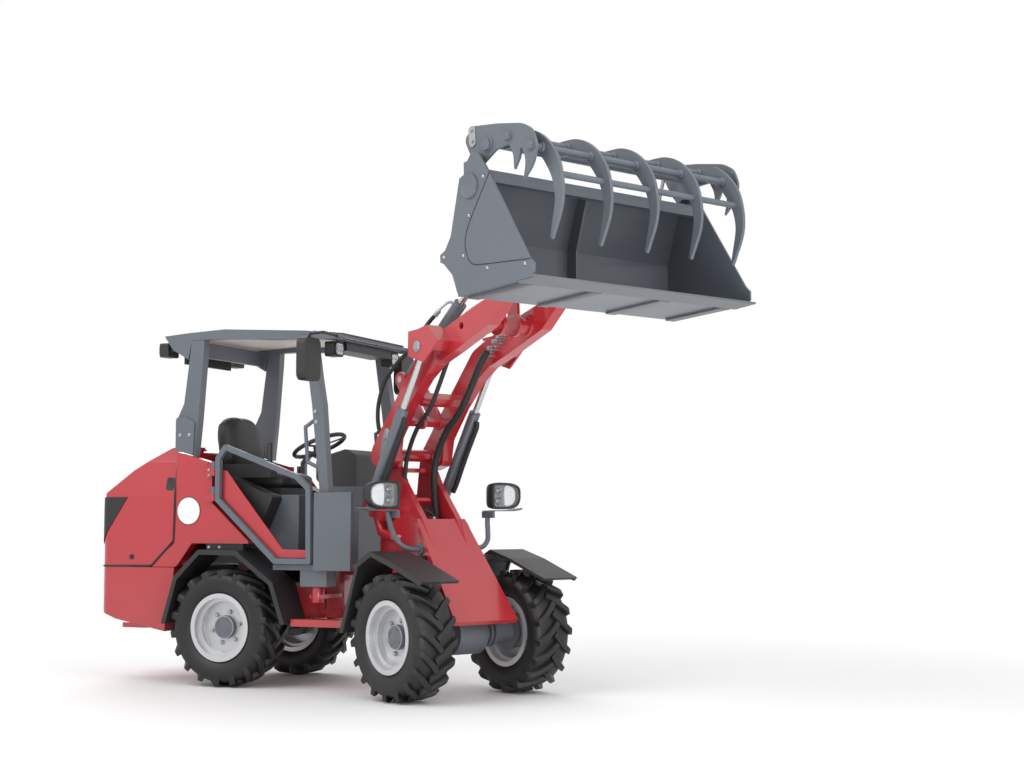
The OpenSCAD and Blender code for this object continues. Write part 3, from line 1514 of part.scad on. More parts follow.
// One slanted lug with its block on the shoulder
module lug() {
    top = sqrt(pow(tyre_d / 2, 2) - pow(lug_back + lug_w[0] / 2, 2));
    translate([lug_back, 0, 0])
        rotate(lug_slant)
            slab([[-lug_w[0] / 2, top - 2 * lug_h], [lug_w[0] / 2, top - 2 * lug_h], [lug_w[1] / 2, top], [-lug_w[1] / 2, top]],
                 lug_run[0], lug_run[1]);
    rotate([0, -asin(2 * lug_back / tyre_d), 0])
        slab([[-lug_w[1] / 2, shoulder_r[0]], [lug_w[1] / 2, shoulder_r[0]], [lug_w[0] / 2, shoulder_r[1]], [-lug_w[0] / 2, shoulder_r[1]]],
             shoulder_y[0], shoulder_y[1]);
}

module rim() {
    f = rim_flange_d / 2;
    s = rim_seat_d / 2;
    w = rim_well_d / 2;
    half = rim_w / 2;
    out = [
        [f, half], [f, half - rim_wall], [s, half - rim_wall], [s, half * 2 * well_shares[1] - rim_wall * 4], [w, half * 2 * well_shares[0]]
    ];
    in = [[w - rim_wall, half * 2 * well_shares[0]], [s - rim_wall, half * 2 * well_shares[1] - rim_wall * 4], [s - rim_wall, half]];
    lathe(concat(
        out, [for (i = [len(out) - 1 : -1 : 0]) [out[i][0], -out[i][1]]],
        [for (i = [len(in) - 1 : -1 : 0]) [in[i][0], -in[i][1]]], in
    ));
    difference() {
        lathe([[0, disc_offset - hub_len], [hub_d / 2, disc_offset - hub_len], [hub_d / 2, disc_offset], [w - rim_wall / 2, disc_offset],
               [w - rim_wall / 2, disc_offset + disc_t], [cap_d / 2, disc_offset + disc_t], [cap_d / 2, disc_offset + disc_t + cap_len],
               [0, disc_offset + disc_t + cap_len]]);
        lathe([[0, -rim_w], [spindle_d / 2 + run_gap, -rim_w], [spindle_d / 2 + run_gap, disc_offset + seat_gap], [0, disc_offset + seat_gap]]);
    }
}

// One wheel's place: end 1 front or 0 rear, side 1 left or -1 right
module at_wheel(front, side) {
    rotate([0, 0, front ? -steer_deg : 0])
        translate([front ? front_axle_x : rear_axle_x, side * half_track, axle_z])
            mirror([0, side < 0 ? 1 : 0, 0])
                children();
}

module tyre_rear_right() {
    color("black")
        at_wheel(false, -1)
            tyre();
}

module tyre_rear_left() {
    color("black")
        at_wheel(false, 1)
            tyre();
}

module tyre_front_right() {
    color("black")
        at_wheel(true, -1)
            tyre();
}

module tyre_front_left() {
    color("black")
        at_wheel(true, 1)
            tyre();
}

module rim_rear_right() {
    color("silver")
        at_wheel(false, -1)
            rim();
}

module rim_rear_left() {
    color("silver")
        at_wheel(false, 1)
            rim();
}

module rim_front_right() {
    color("silver")
        at_wheel(true, -1)
            rim();
}

module rim_front_left() {
    color("silver")
        at_wheel(true, 1)
            rim();
}

place() rear_frame();
place() engine_block();
place() rear_axle();
place() rear_ballast();
place() body_sides();
place() rear_mudguards();
place() cab_tub();
place() dashboard();
place() seat_carrier();
place() seat_cushion();
place() seat_back();
place() rear_posts();
place() front_posts();
place() roof_rails();
place() roof_panel();
place() roof_visor();
place() work_lamps();
place() work_lamp_lenses();
place() mirrors();
place() plate_holder();
place() hood_shell();
place() hood_grille();
place() door_right_frame();
place() door_right_panel();
place() door_left_frame();
place() door_left_panel();
place() front_frame();
place() front_axle();
place() front_mudguards();
place() headlamp_stays();
place() headlamps();
place() headlamp_lenses();
place() lift_arm();
place() lift_barrels();
place() lift_rods();
place() tilt_pin();
place() tilt_barrel();
place() tilt_rod();
place() lever_bush();
place() tilt_lever();
place() link_pin();
place() tilt_link();
place() hitch_pins();
place() quick_hitch();
place() bucket_shell();
place() cutting_edge();
place() grab_frame();
place() grab_barrels();
place() grab_rods();
place() tyre_rear_right();
place() tyre_rear_left();
place() tyre_front_right();
place() tyre_front_left();
place() rim_rear_right();
place() rim_rear_left();
place() rim_front_right();
place() rim_front_left();
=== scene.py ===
import math

import bmesh
import bpy
import numpy as np
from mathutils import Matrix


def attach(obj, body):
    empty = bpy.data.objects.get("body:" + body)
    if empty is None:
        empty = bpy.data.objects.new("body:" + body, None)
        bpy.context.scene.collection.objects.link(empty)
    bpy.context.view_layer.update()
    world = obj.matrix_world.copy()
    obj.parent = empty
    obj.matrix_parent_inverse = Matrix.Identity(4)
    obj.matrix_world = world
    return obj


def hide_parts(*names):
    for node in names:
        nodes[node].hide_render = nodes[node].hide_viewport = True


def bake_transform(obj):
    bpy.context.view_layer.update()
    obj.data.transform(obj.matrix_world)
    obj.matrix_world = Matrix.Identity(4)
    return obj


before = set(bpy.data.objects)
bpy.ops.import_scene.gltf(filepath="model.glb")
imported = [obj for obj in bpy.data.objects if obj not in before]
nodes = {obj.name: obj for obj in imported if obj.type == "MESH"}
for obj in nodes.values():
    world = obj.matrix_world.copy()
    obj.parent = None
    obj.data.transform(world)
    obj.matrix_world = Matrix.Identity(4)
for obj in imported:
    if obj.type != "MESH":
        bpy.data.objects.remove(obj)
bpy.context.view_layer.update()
scene = bpy.context.scene
scene.view_settings.view_transform = "Standard"

# The stand: a pale seamless floor in a bright room with soft lamps.
# Far from the machine the floor fades to the plain white of the room,
# and near the wheels it keeps their soft shadow.


def linear(code):
    """An sRGB hex colour as linear RGBA: each channel is c/12.92 below 0.04045, else ((c+0.055)/1.055)^2.4."""
    c = np.array([int(code[i:i + 2], 16) / 255 for i in (1, 3, 5)])
    c = np.where(c <= 0.04045, c / 12.92, ((c + 0.055) / 1.055) ** 2.4)
    return (float(c[0]), float(c[1]), float(c[2]), 1.0)


def put(tree, kind, inputs=None, **settings):
    """Adds one shader node with its settings; an input is a value, or a (node, output) pair to link."""
    made = tree.nodes.new("ShaderNode" + kind)
    for key, value in settings.items():
        setattr(made, key, value)
    for key, value in (inputs or {}).items():
        if isinstance(value, tuple) and isinstance(value[0], bpy.types.Node):
            tree.links.new(value[0].outputs[value[1]], made.inputs[key])
        else:
            made.inputs[key].default_value = value
    return made


def surface(name, points, faces, material, smooth=True):
    """A mesh object at the origin from an (n, 3) array of points and a list or array of faces: a pole, which is a ring
    of edges under 1 mm, is closed, and all faces are turned outwards."""
    mesh = bpy.data.meshes.new(name)
    mesh.from_pydata(np.asarray(points, float).tolist(), [], [list(map(int, f)) for f in faces])
    work = bmesh.new()
    work.from_mesh(mesh)
    poles = [e for e in work.edges if e.is_boundary and e.calc_length() < 0.001]
    bmesh.ops.holes_fill(work, edges=poles, sides=0)
    bmesh.ops.recalc_face_normals(work, faces=work.faces)
    work.to_mesh(mesh)
    work.free()
    mesh.update()
    mesh.polygons.foreach_set("use_smooth", np.full(len(mesh.polygons), smooth))
    mesh.set_sharp_from_angle(angle=math.radians(38))
    made = bpy.data.objects.new(name, mesh)
    scene.collection.objects.link(made)
    mesh.materials.append(material)
    return made


floor_paint = bpy.data.materials.new("floor_paint")
floor_paint.use_nodes = True
tree = floor_paint.node_tree
tree.nodes.clear()
place = put(tree, "TexCoord")
reach = put(tree, "VectorMath", {0: (place, "Object")}, operation="LENGTH")
fade = put(tree, "MapRange", {"Value": (reach, "Value"), "From Min": 2.6, "From Max": 6.0},
           interpolation_type="SMOOTHSTEP")
matt = put(tree, "BsdfPrincipled", {"Base Color": linear("#F2F2F2"), "Roughness": 0.7})
plain = put(tree, "Emission", {"Color": (1, 1, 1, 1), "Strength": 1.0})
both = put(tree, "MixShader", {0: (fade, "Result"), 1: (matt, "BSDF"), 2: (plain, "Emission")})
put(tree, "OutputMaterial", {"Surface": (both, "Shader")})
FLOOR_HALF = 40.0
corners = np.array([[-1, -1, 0], [1, -1, 0], [-1, 1, 0], [1, 1, 0]]) * FLOOR_HALF
floor = surface("floor", corners, [[0, 1, 3, 2]], floor_paint, False)

world = bpy.data.worlds.new("room")
scene.world = world
world.use_nodes = True
tree = world.node_tree
tree.nodes.clear()
ray = put(tree, "LightPath")
seen = put(tree, "Math", {0: (ray, "Is Camera Ray"), 1: (ray, "Is Transmission Ray")}, operation="MAXIMUM")
sheen = put(tree, "Math", {0: (seen, "Value"), 1: (ray, "Is Glossy Ray")}, operation="MAXIMUM")
level = put(tree, "MapRange", {"Value": (sheen, "Value"), "To Min": 0.62, "To Max": 1.0})
sky = put(tree, "Background", {"Color": (1, 1, 1, 1), "Strength": (level, "Result")})
put(tree, "OutputWorld", {"Surface": (sky, "Background")})


def lamp(name, at, aim, size, watts):
    """A square soft box at one point, facing another."""
    light = bpy.data.lights.new(name, "AREA")
    light.shape = "SQUARE"
    light.size = size
    light.energy = watts
    made = bpy.data.objects.new(name, light)
    scene.collection.objects.link(made)
    made.location = at
    look = np.array(aim, float) - np.array(at, float)
    made.rotation_euler = (math.acos(-look[2] / np.linalg.norm(look)), 0, math.atan2(look[1], look[0]) - math.pi / 2)
    made.visible_camera = False


lamp("key_box", (-3.0, -5.5, 7.0), (0.0, 0.0, 1.0), 6.0, 330)
lamp("front_box", (6.0, -2.5, 6.5), (0.3, 0.0, 1.2), 6.0, 260)
lamp("back_box", (-5.0, 5.0, 5.5), (0.0, 0.0, 1.2), 5.0, 180)
lamp("bounce_card", (2.6, -2.4, 0.05), (1.5, -0.6, 2.4), 2.6, 120)

# The camera: low and far, on the machine's right front corner, as the photograph was taken.
# Its place, turn and lens come from fitting the wheels and canopy to the picture.
SENSOR_MM = 36.0
FOCAL_PIXELS, WIDE_PIXELS = 1578.544, 1024.0
PITCH, HEADING = 4.874, 113.944
lens = bpy.data.cameras.new("camera")
lens.sensor_width = SENSOR_MM
lens.lens = FOCAL_PIXELS * SENSOR_MM / WIDE_PIXELS
lens.shift_x = 0.0032
lens.clip_end = 100.0
camera = bpy.data.objects.new("camera", lens)
scene.collection.objects.link(camera)
camera.location = (4.6049, -8.4782, 1.064)
camera.rotation_euler = (math.radians(90 + PITCH), 0.0, math.radians(HEADING - 90))
scene.camera = camera

# Rear frame, articulation and axles: welded plate and castings, sprayed with one enamel coat.
# Red on the frame plates, grey on the axle castings; the bright pins stay bare steel.

STEER = math.radians(26.743)
SHIFT = np.array([309.11087, -559.80775, 0.0])


def rear(points):
    """Points in mm in the rear half's own frame, as metres in the part's frame: the origin's shift is taken off."""
    return (np.asarray(points, float) - SHIFT) / 1000.0


def front(points):
    """Points in mm in the front half's own frame: turned right by the stored steering angle, then shifted as rear()."""
    p = np.asarray(points, float)
    c, s = math.cos(STEER), math.sin(STEER)
    turned = np.stack([p[..., 0] * c + p[..., 1] * s, -p[..., 0] * s + p[..., 1] * c, p[..., 2]], -1)
    return rear(turned)


def coated(name, colour, rough, peel_mm, peel, cloud, metal=0.0, coat=0.0, dust=0.12):
    """A sprayed or moulded coat: clouds 350 mm wide shift the colour and gloss a little, a fine grain lifts the
    surface, and dust gathers towards the ground."""
    material = bpy.data.materials.new(name)
    material.use_nodes = True
    tree = material.node_tree
    tree.nodes.clear()
    place = put(tree, "TexCoord")
    clouds = put(tree, "TexNoise", {"Vector": (place, "Object"), "Scale": 1000 / 350, "Detail": 5.0, "Roughness": 0.6})
    grain = put(tree, "TexNoise", {"Vector": (place, "Object"), "Scale": 1000 / peel_mm, "Detail": 2.0})
    base = np.array(linear(colour))
    light = tuple(np.append(np.clip(base[:3] * (1 + cloud), 0, 1), 1.0))
    dark = tuple(np.append(base[:3] * (1 - cloud), 1.0))
    tone = put(tree, "Mix", {0: (clouds, "Fac"), 6: dark, 7: light}, data_type="RGBA")
    height = put(tree, "SeparateXYZ", {"Vector": (place, "Object")})
    low = put(tree, "MapRange", {"Value": (height, "Z"), "From Min": 0.95, "From Max": 0.25, "To Max": dust})
    film = put(tree, "Math", {0: (low, "Result"), 1: (clouds, "Fac")}, operation="MULTIPLY")
    dusty = put(tree, "Mix", {0: (film, "Value"), 6: (tone, 2), 7: linear("#8F877B")}, data_type="RGBA")
    gloss = put(tree, "MapRange", {"Value": (clouds, "Fac"), "To Min": rough - 0.06, "To Max": rough + 0.08})
    lift = put(tree, "Bump", {"Height": (grain, "Fac"), "Strength": peel, "Distance": 0.001})
    skin = put(tree, "BsdfPrincipled", {"Base Color": (dusty, 2), "Roughness": (gloss, "Result"),
                                        "Normal": (lift, "Normal"), "Metallic": metal,
                                        "Coat Weight": coat, "Coat Roughness": 0.12})
    put(tree, "OutputMaterial", {"Surface": (skin, "BSDF")})
    return material


# Two-pack enamel over steel: even colour, soft wide highlights, slight orange peel about 5 mm wide.
red_enamel = coated("red_enamel", "#AE212C", 0.3, 5, 0.05, 0.05, coat=0.8)
grey_enamel = coated("grey_enamel", "#5C626A", 0.42, 5, 0.06, 0.05, coat=0.12)
axle_enamel = coated("axle_enamel", "#555A61", 0.5, 9, 0.18, 0.08)
# Bare ground steel on pins and rods: bright, with a fine grain drawn 1.5 mm wide so that it shows.
ground_steel = coated("ground_steel", "#C9CACB", 0.24, 1.5, 0.05, 0.04, metal=1.0)
# Cast iron of the engine: dark and rough, with the grain of the sand mould, 4 mm wide.
cast_iron = coated("cast_iron", "#3A3B3D", 0.6, 4, 0.35, 0.12)


def dress(names, material, edge=0.0):
    """Gives CAD nodes a finish, and where edge is set a rounded edge of that many mm by weld and bevel modifiers."""
    for name in names:
        mesh = nodes[name].data
        mesh.materials.clear()
        mesh.materials.append(material)
        if edge:
            weld = nodes[name].modifiers.new("weld", "WELD")
            weld.merge_threshold = 0.00002
            bevel = nodes[name].modifiers.new("bevel", "BEVEL")
            bevel.width = edge / 1000
            bevel.segments = 2
            bevel.limit_method = "ANGLE"
            bevel.angle_limit = math.radians(40)
            bevel.harden_normals = True


dress(["rear_frame", "front_frame"], red_enamel, 3.0)
dress(["rear_axle", "front_axle"], axle_enamel, 3.0)
dress(["engine_block"], cast_iron)
dress(["lift_rods", "tilt_pin", "tilt_rod", "link_pin", "hitch_pins", "grab_rods"], ground_steel)

# Wheels: farm tyres with slanted lugs on silver disc rims, six wheel nuts and a grey hub each.
# The carcass is a revolved profile; each lug is a bar swept from the middle to the shoulder and down the sidewall.

WHEEL_Z = 375.0
REAR_X, FRONT_X, TRACK_HALF = -865.0, 857.0, 437.5
WHEELS = {
    "rear_right": (rear, REAR_X, -TRACK_HALF, -1),
    "rear_left": (rear, REAR_X, TRACK_HALF, 1),
    "front_right": (front, FRONT_X, -TRACK_HALF, -1),
    "front_left": (front, FRONT_X, TRACK_HALF, 1),
}
TYRE_STEPS, LUGS, LUG_ROWS, LUG_COLS = 96, 18, 14, 8


def grid_faces(rows, cols, wrap_rows=False, wrap_cols=False, start=0):
    """Quads of a rows by cols grid of points, joined round where a direction is closed."""
    i = np.arange(rows if wrap_rows else rows - 1)[:, None]
    j = np.arange(cols if wrap_cols else cols - 1)[None, :]
    a, b = (i + 1) % rows, (j + 1) % cols
    quads = np.stack(np.broadcast_arrays(i * cols + j, a * cols + j, a * cols + b, i * cols + b), -1)
    return quads.reshape(-1, 4) + start


def spun(radius, across, steps):
    """A profile of (radius, place along the axle) turned round the axle: x = r sin t, z = r cos t."""
    t = np.linspace(0, 2 * math.pi, steps, endpoint=False)[:, None]
    r, y = np.asarray(radius, float)[None, :], np.asarray(across, float)[None, :]
    return np.stack([r * np.sin(t), y + 0 * t, r * np.cos(t)], -1)


def lug_bars(count, side):
    """Lugs of one tread half as a (count, rows, columns, 3) array: along each bar the angle grows with the distance
    from the middle, the top follows the crown, the foot falls at the shoulder, and the end rows close the bar."""
    u = np.concatenate([[0.0], np.linspace(0, 1, LUG_ROWS - 2), [1.0]])[None, :, None]
    ends = np.array([0.0] + [1.0] * (LUG_ROWS - 2) + [0.0])[None, :, None]
    y = -15 + 144 * u
    turn = 0.43 * u - 0.09 * u * u
    top = 374.5 - 7 * u ** 2 - 7 * np.clip((u - 0.8) / 0.2, 0, 1) ** 2
    foot = 343 - 38 * np.clip((u - 0.7) / 0.3, 0, 1)
    half = 16 + 6 * u
    wide = np.array([-1.42, -1.3, -1.02, -0.9, 0.9, 1.02, 1.3, 1.42])[None, None, :]
    lift = np.array([0, 0.3, 0.93, 1.0, 1.0, 0.93, 0.3, 0])[None, None, :] * ends
    r = foot + (top - foot) * lift
    slant = math.radians(47)
    angle = turn + wide * half * math.sin(slant) / 370
    shift = -wide * half * math.cos(slant) * (1 - 0.6 * u)
    start = (np.arange(count)[:, None, None] + (0.5 if side > 0 else 0.0)) * 2 * math.pi / count
    t = start + angle
    across = np.clip(y + shift, -24, 127) + 4 * np.clip((u - 0.9) / 0.1, 0, 1) * (1 - 0.5 * lift)
    return np.stack(np.broadcast_arrays(r * np.sin(t), side * across, r * np.cos(t)), -1)


# Tyre rubber: near black, with a dull sheen and a moulded grain drawn 3 mm wide.
tyre_rubber = coated("tyre_rubber", "#101011", 0.48, 3, 0.2, 0.1, dust=0.03)
# Silver wheel paint: fine aluminium flake under clear lacquer gives a soft satin metal.
rim_silver = coated("rim_silver", "#C6C7CA", 0.36, 4, 0.05, 0.03, metal=0.55, coat=0.3)
carcass_r = [214, 219, 232, 252, 277, 301, 322, 335, 343, 346, 347]
carcass_y = [98, 108, 117, 126, 131, 131, 126, 116, 96, 60, 0]
for name, (where, x, y, side) in WHEELS.items():
    r = np.array(carcass_r + carcass_r[-2::-1] + [208, 208])
    across = np.array([-v for v in carcass_y] + carcass_y[-2::-1] + [92, -92])
    body = spun(r, across, TYRE_STEPS)
    parts, faces = [body.reshape(-1, 3)], [grid_faces(TYRE_STEPS, len(r), True, True)]
    start = body.size // 3
    for half in (-1, 1):
        for bar in lug_bars(LUGS, half):
            faces.append(grid_faces(LUG_ROWS, LUG_COLS, start=start)[:, ::half])
            parts.append(bar.reshape(-1, 3))
            start += LUG_ROWS * LUG_COLS
    points = np.concatenate(parts) * [side, 1, 1] + [x, y, WHEEL_Z]
    made = surface("tread_" + name, where(points), np.concatenate(faces)[:, ::side], tyre_rubber)
    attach(made, "wheel_" + name)
    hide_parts("tyre_" + name)
dress(["rim_" + n for n in WHEELS], rim_silver, 2.0)


def hex_heads(places, ups, size, tall):
    """Hexagon heads on round washers: eight rings of twelve points stacked along each head's own axis, as one mesh."""
    places, ups = np.asarray(places, float), np.asarray(ups, float)
    ups = ups / np.linalg.norm(ups, axis=1)[:, None]
    helper = np.where(np.abs(ups[:, 2:3]) < 0.9, [[0.0, 0.0, 1.0]], [[1.0, 0.0, 0.0]])
    side = np.cross(helper, ups)
    side /= np.linalg.norm(side, axis=1)[:, None]
    other = np.cross(ups, side)
    t = np.arange(12) * math.pi / 6
    flat = 1 / np.cos((t + math.pi / 6) % (math.pi / 3) - math.pi / 6)
    rings = [(0.02 + 0 * t, -0.3), (1.3 + 0 * t, -0.3), (1.3 + 0 * t, 0.16), (1.16 + 0 * t, 0.2), (0.98 * flat, 0.2),
             (0.98 * flat, 0.85), (0.9 + 0 * t, 1.0), (0.02 + 0 * t, 1.0)]
    r = np.stack([k[0] for k in rings])[None] * size / 2
    h = np.array([k[1] for k in rings])[None, :, None] * tall
    points = (places[:, None, None, :] + (r * np.cos(t))[..., None] * side[:, None, None, :]
              + (r * np.sin(t))[..., None] * other[:, None, None, :] + (h + 0 * r)[..., None] * ups[:, None, None, :])
    rows, cols = len(rings), len(t)
    faces = [grid_faces(rows, cols, False, True, rows * cols * i)[:, ::-1] for i in range(len(places))]
    return points.reshape(-1, 3), np.concatenate(faces)


def bolt_circle(x, y, radius, count, first):
    """Places spread evenly round an axle: x + r sin t and z + r cos t, from a first angle off the top."""
    t = np.arange(count) * 2 * math.pi / count + first
    return np.stack([x + radius * np.sin(t), np.full(count, y), WHEEL_Z + radius * np.cos(t)], 1)


# Zinc-plated fasteners: grey steel with a pale, slightly mottled plating.
zinc_plate = coated("zinc_plate", "#A9ABAC", 0.34, 3, 0.1, 0.08, metal=0.9)
for name, (where, x, y, side) in WHEELS.items():
    points, faces = hex_heads(bolt_circle(x, y + side * 26, 102, 6, 0.3), [[0, side, 0]] * 6, 24, 18)
    made = surface("wheel_nuts_" + name, where(points), faces, zinc_plate, False)
    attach(made, "wheel_" + name)


def turned(places, sides, radius, across, steps=40):
    """Turned pieces with their axle along y: one profile of (radius, height) set at each place, its height towards the
    side; a profile that only ends at the axle gets a flat base."""
    if radius[-1] < 1 < radius[0]:
        radius, across = [radius[-1], *radius], [across[0], *across]
    profile = np.stack([spun(radius, side * np.asarray(across, float), steps) + np.asarray(at, float)
                        for at, side in zip(places, sides)])
    count = steps * len(radius)
    faces = np.concatenate([grid_faces(steps, len(radius), True, False, i * count) for i in range(len(places))])
    return profile.reshape(-1, 3), faces


# Hub covers: cast caps in grey enamel that stand out of each rim's disc.
# Each is closed by four small screws, painted over with it.
for name, (where, x, y, side) in WHEELS.items():
    points, faces = turned([[x, y, WHEEL_Z]], [side], [73, 73, 70, 64, 47, 45, 43, 0.4],
                           [22, 55, 59.5, 61.5, 62, 60.8, 61.6, 62.2], 64)
    made = surface("hub_cover_" + name, where(points), faces, grey_enamel)
    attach(made, "wheel_" + name)
    points, faces = hex_heads(bolt_circle(x, y + side * 61, 54, 4, 0.55), [[0, side, 0]] * 4, 13, 5)
    made = surface("hub_screws_" + name, where(points), faces, grey_enamel, False)
    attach(made, "wheel_" + name)

# Axle flanges: the cast axle halves are bolted to the middle housing through round flanges.
# Each joint has ten bolts, sprayed with the axle.
for name, where, x, body in (("rear", rear, REAR_X, "rear_half"), ("front", front, FRONT_X, "front_half")):
    places = [[x, y, WHEEL_Z] for y in (-196, -178, 178, 196)]
    points, faces = turned(places, [-1, 1, -1, 1], [60, 86, 88, 88, 86, 60], [0.5, 0.8, 2.5, 13, 15, 15.5], 48)
    made = surface("axle_flanges_" + name, where(points), faces, axle_enamel)
    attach(made, body)
    places = np.concatenate([bolt_circle(x, sign * 211.0, 77, 10, 0.0) for sign in (-1, 1)])
    points, faces = hex_heads(places, [[0, -1, 0]] * 10 + [[0, 1, 0]] * 10, 15, 9)
    made = surface("axle_bolts_" + name, where(points), faces, axle_enamel, False)
    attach(made, body)

# Rear body: pressed steel hood and side panels in red enamel over a cast ballast.
# The grille and the wheel arches are black mouldings, screwed on.
dress(["rear_ballast", "body_sides", "hood_shell", "door_right_panel", "door_left_panel"], red_enamel, 4.0)
# Moulded black polypropylene: low gloss with a fine leather grain, drawn 2.5 mm wide.
black_plastic = coated("black_plastic", "#202022", 0.46, 2.5, 0.2, 0.08, dust=0.04)
dress(["rear_mudguards", "front_mudguards", "hood_grille"], black_plastic, 4.0)

# Seal and fittings of the rear body: a rubber strip closes the joint round the hood, and each side has a latch cup,
# a turn-lock, painted panel screws and zinc hinge bolts; a plain round disc of white film sits on the right side.
# Extruded seal rubber: dull black, grained 3 mm wide.
seal_rubber = coated("seal_rubber", "#1B1B1C", 0.65, 3, 0.25, 0.1)
# Vinyl film: flat, pale and slightly glossy.
white_film = coated("white_film", "#E9E9E7", 0.4, 4, 0.04, 0.02)
SEAL = [[-1247, 474, 1448], [-1250, 488, 1360], [-1253, 497, 1274], [-1254, 501, 1180], [-1257, 501, 1050],
        [-1261, 501, 930], [-1271, 501, 902], [-1310, 501, 872], [-1360, 501, 826], [-1418, 501, 770],
        [-1446, 501, 758], [-1500, 501, 757], [-1650, 501, 755], [-1780, 501, 753.5], [-1806, 498, 753],
        [-1824, 487, 753], [-1845, 446, 753], [-1860, 412, 753], [-1867, 390, 753], [-1868, 300, 753],
        [-1868, 150, 753], [-1868, 0, 753]]
SEAL_STEPS = 170


def open_curve(points, count):
    """A smooth line through points: Catmull-Rom with the ends repeated."""
    p = np.asarray(points, float)
    t = np.linspace(0, len(p) - 1 - 1e-9, count)
    i = t.astype(int)
    f = (t - i)[:, None]
    a, b, c, d = (p[np.clip(i + k, 0, len(p) - 1)] for k in (-1, 0, 1, 2))
    return 0.5 * (2 * b + (c - a) * f + (2 * a - 5 * b + 4 * c - d) * f ** 2 + (3 * b - a - 3 * c + d) * f ** 3)


def tube(path, radius, sides=10):
    """A round section carried along a line of points: each ring stands square to the line's own direction, and its
    sideways axis is carried on from ring to ring."""
    path = np.asarray(path, float)
    ahead = np.gradient(path, axis=0)
    ahead /= np.linalg.norm(ahead, axis=1)[:, None]
    guide = np.array([0.31, 0.82, 0.48])
    side = np.cross(ahead, guide)
    side /= np.linalg.norm(side, axis=1)[:, None]
    other = np.cross(ahead, side)
    t = np.arange(sides) * 2 * math.pi / sides
    r = np.broadcast_to(np.asarray(radius, float), (len(path),))[:, None, None]
    rings = path[:, None] + r * (np.cos(t)[None, :, None] * side[:, None] + np.sin(t)[None, :, None] * other[:, None])
    points = np.concatenate([rings.reshape(-1, 3), path[:1], path[-1:]])
    n = len(path) * sides
    k = np.arange(sides)
    caps = np.concatenate([np.stack([k * 0 + n, (k + 1) % sides, k], 1),
                           np.stack([k * 0 + n + 1, n - sides + k, n - sides + (k + 1) % sides], 1)])
    return points, [*grid_faces(len(path), sides, False, True)[:, ::-1].tolist(), *caps.tolist()]


SIDES = (("right", -1), ("left", 1))
for side, sign in SIDES:
    line = rear(open_curve(np.array(SEAL) * [1, sign, 1], SEAL_STEPS))
    points, faces = tube(line, np.linspace(0.0075, 0.0055, SEAL_STEPS), 12)
    made = surface("hood_seal_" + side, points, faces, seal_rubber)
    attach(made, "rear_half")
    points, faces = turned([[-1590, sign * 500, 815]], [sign], [17, 17, 15, 8, 7, 0.4], [-1, 4, 6, 6.5, 9, 9.5])
    made = surface("turn_lock_" + side, rear(points), faces, black_plastic)
    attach(made, "hood")
    for name, y, places, size, tall, finish, slot, smooth in (
            ("panel_screws_", 500, [[-1012, 1421], [-1018, 1197]], 22, 6, red_enamel, "red_paint", True),
            ("hinge_bolts_", 527, [[-976, 1376], [-976, 1340]], 14, 8, zinc_plate, "bright_steel", False),
            ("arch_bolts_", 490, [[-993, 880], [-912, 880]], 16, 7, zinc_plate, "bright_steel", False)):
        points, faces = hex_heads([[x, sign * y, z] for x, z in places], [[0, sign, 0]] * 2, size, tall)
        made = surface(name + side, rear(points), faces, finish, smooth)
        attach(made, "rear_half")
DISC_AT = [[-1147, -500, 1114]]
points, faces = turned(DISC_AT, [-1], [87, 87, 86, 84, 0.4], [-1, 1.4, 1.8, 2.0, 2.0], 96)
disc = surface("speed_disc", rear(points), faces, white_film)
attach(disc, "rear_half")
points, faces = turned(DISC_AT, [-1], [91, 91, 90, 87, 86.6, 86.6], [-1, 2.2, 2.6, 2.6, 2.2, -1], 96)
edge = surface("speed_disc_edge", rear(points), faces, seal_rubber)
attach(edge, "rear_half")


def lofted(outline, scales, depths, sign=1):
    """A (y, z) outline drawn in towards its middle by each scale and set at each depth along x; sign -1 mirrors y."""
    mid = (outline.max(0) + outline.min(0)) / 2
    yz = mid + np.asarray(scales, float)[:, None, None] * (outline - mid)[None]
    x = np.broadcast_to(np.asarray(depths, float)[:, None], yz.shape[:2])
    return np.stack([x, sign * yz[..., 0], yz[..., 1]], -1)


def stacked(grids):
    """Several (rows, points, 3) grids, each closed round its points, as one list of points and faces."""
    starts = np.cumsum([0] + [g.shape[0] * g.shape[1] for g in grids])
    faces = [grid_faces(g.shape[0], g.shape[1], False, True, k) for g, k in zip(grids, starts)]
    return np.concatenate([g.reshape(-1, 3) for g in grids]), np.concatenate(faces)


def soft_box(wide, tall, power, count=96):
    """A rounded rectangle as a superellipse: half width times |cos|^(2/p), half height times |sin|^(2/p)."""
    t = np.linspace(0, 2 * math.pi, count, endpoint=False)
    c, s = np.cos(t), np.sin(t)
    return np.stack([wide * np.sign(c) * np.abs(c) ** (2 / power), tall * np.sign(s) * np.abs(s) ** (2 / power)], 1)


# Latch cups: dished black mouldings let into the hood beside the seal.
# The hood's side leans in there, from 489.4 mm at a height of 1274 mm, by 0.165 mm per mm.
LEAN = 0.165
grid = lofted(soft_box(30, 42, 5), [0.01, 1.0, 1.0, 0.94, 0.84, 0.7, 0.4, 0.01],
              [-3, -3, 2.2, 3.0, 2.4, 1.2, 0.8, 0.8])
z = grid[..., 2] + 1290
cups = [np.stack([grid[..., 1] - 1302, sign * (489.4 - (z - 1274) * LEAN + grid[..., 0]), z], -1)
        for side, sign in SIDES]
points, faces = stacked(cups)
made = surface("latch_cups", rear(points), faces, black_plastic)
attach(made, "hood")

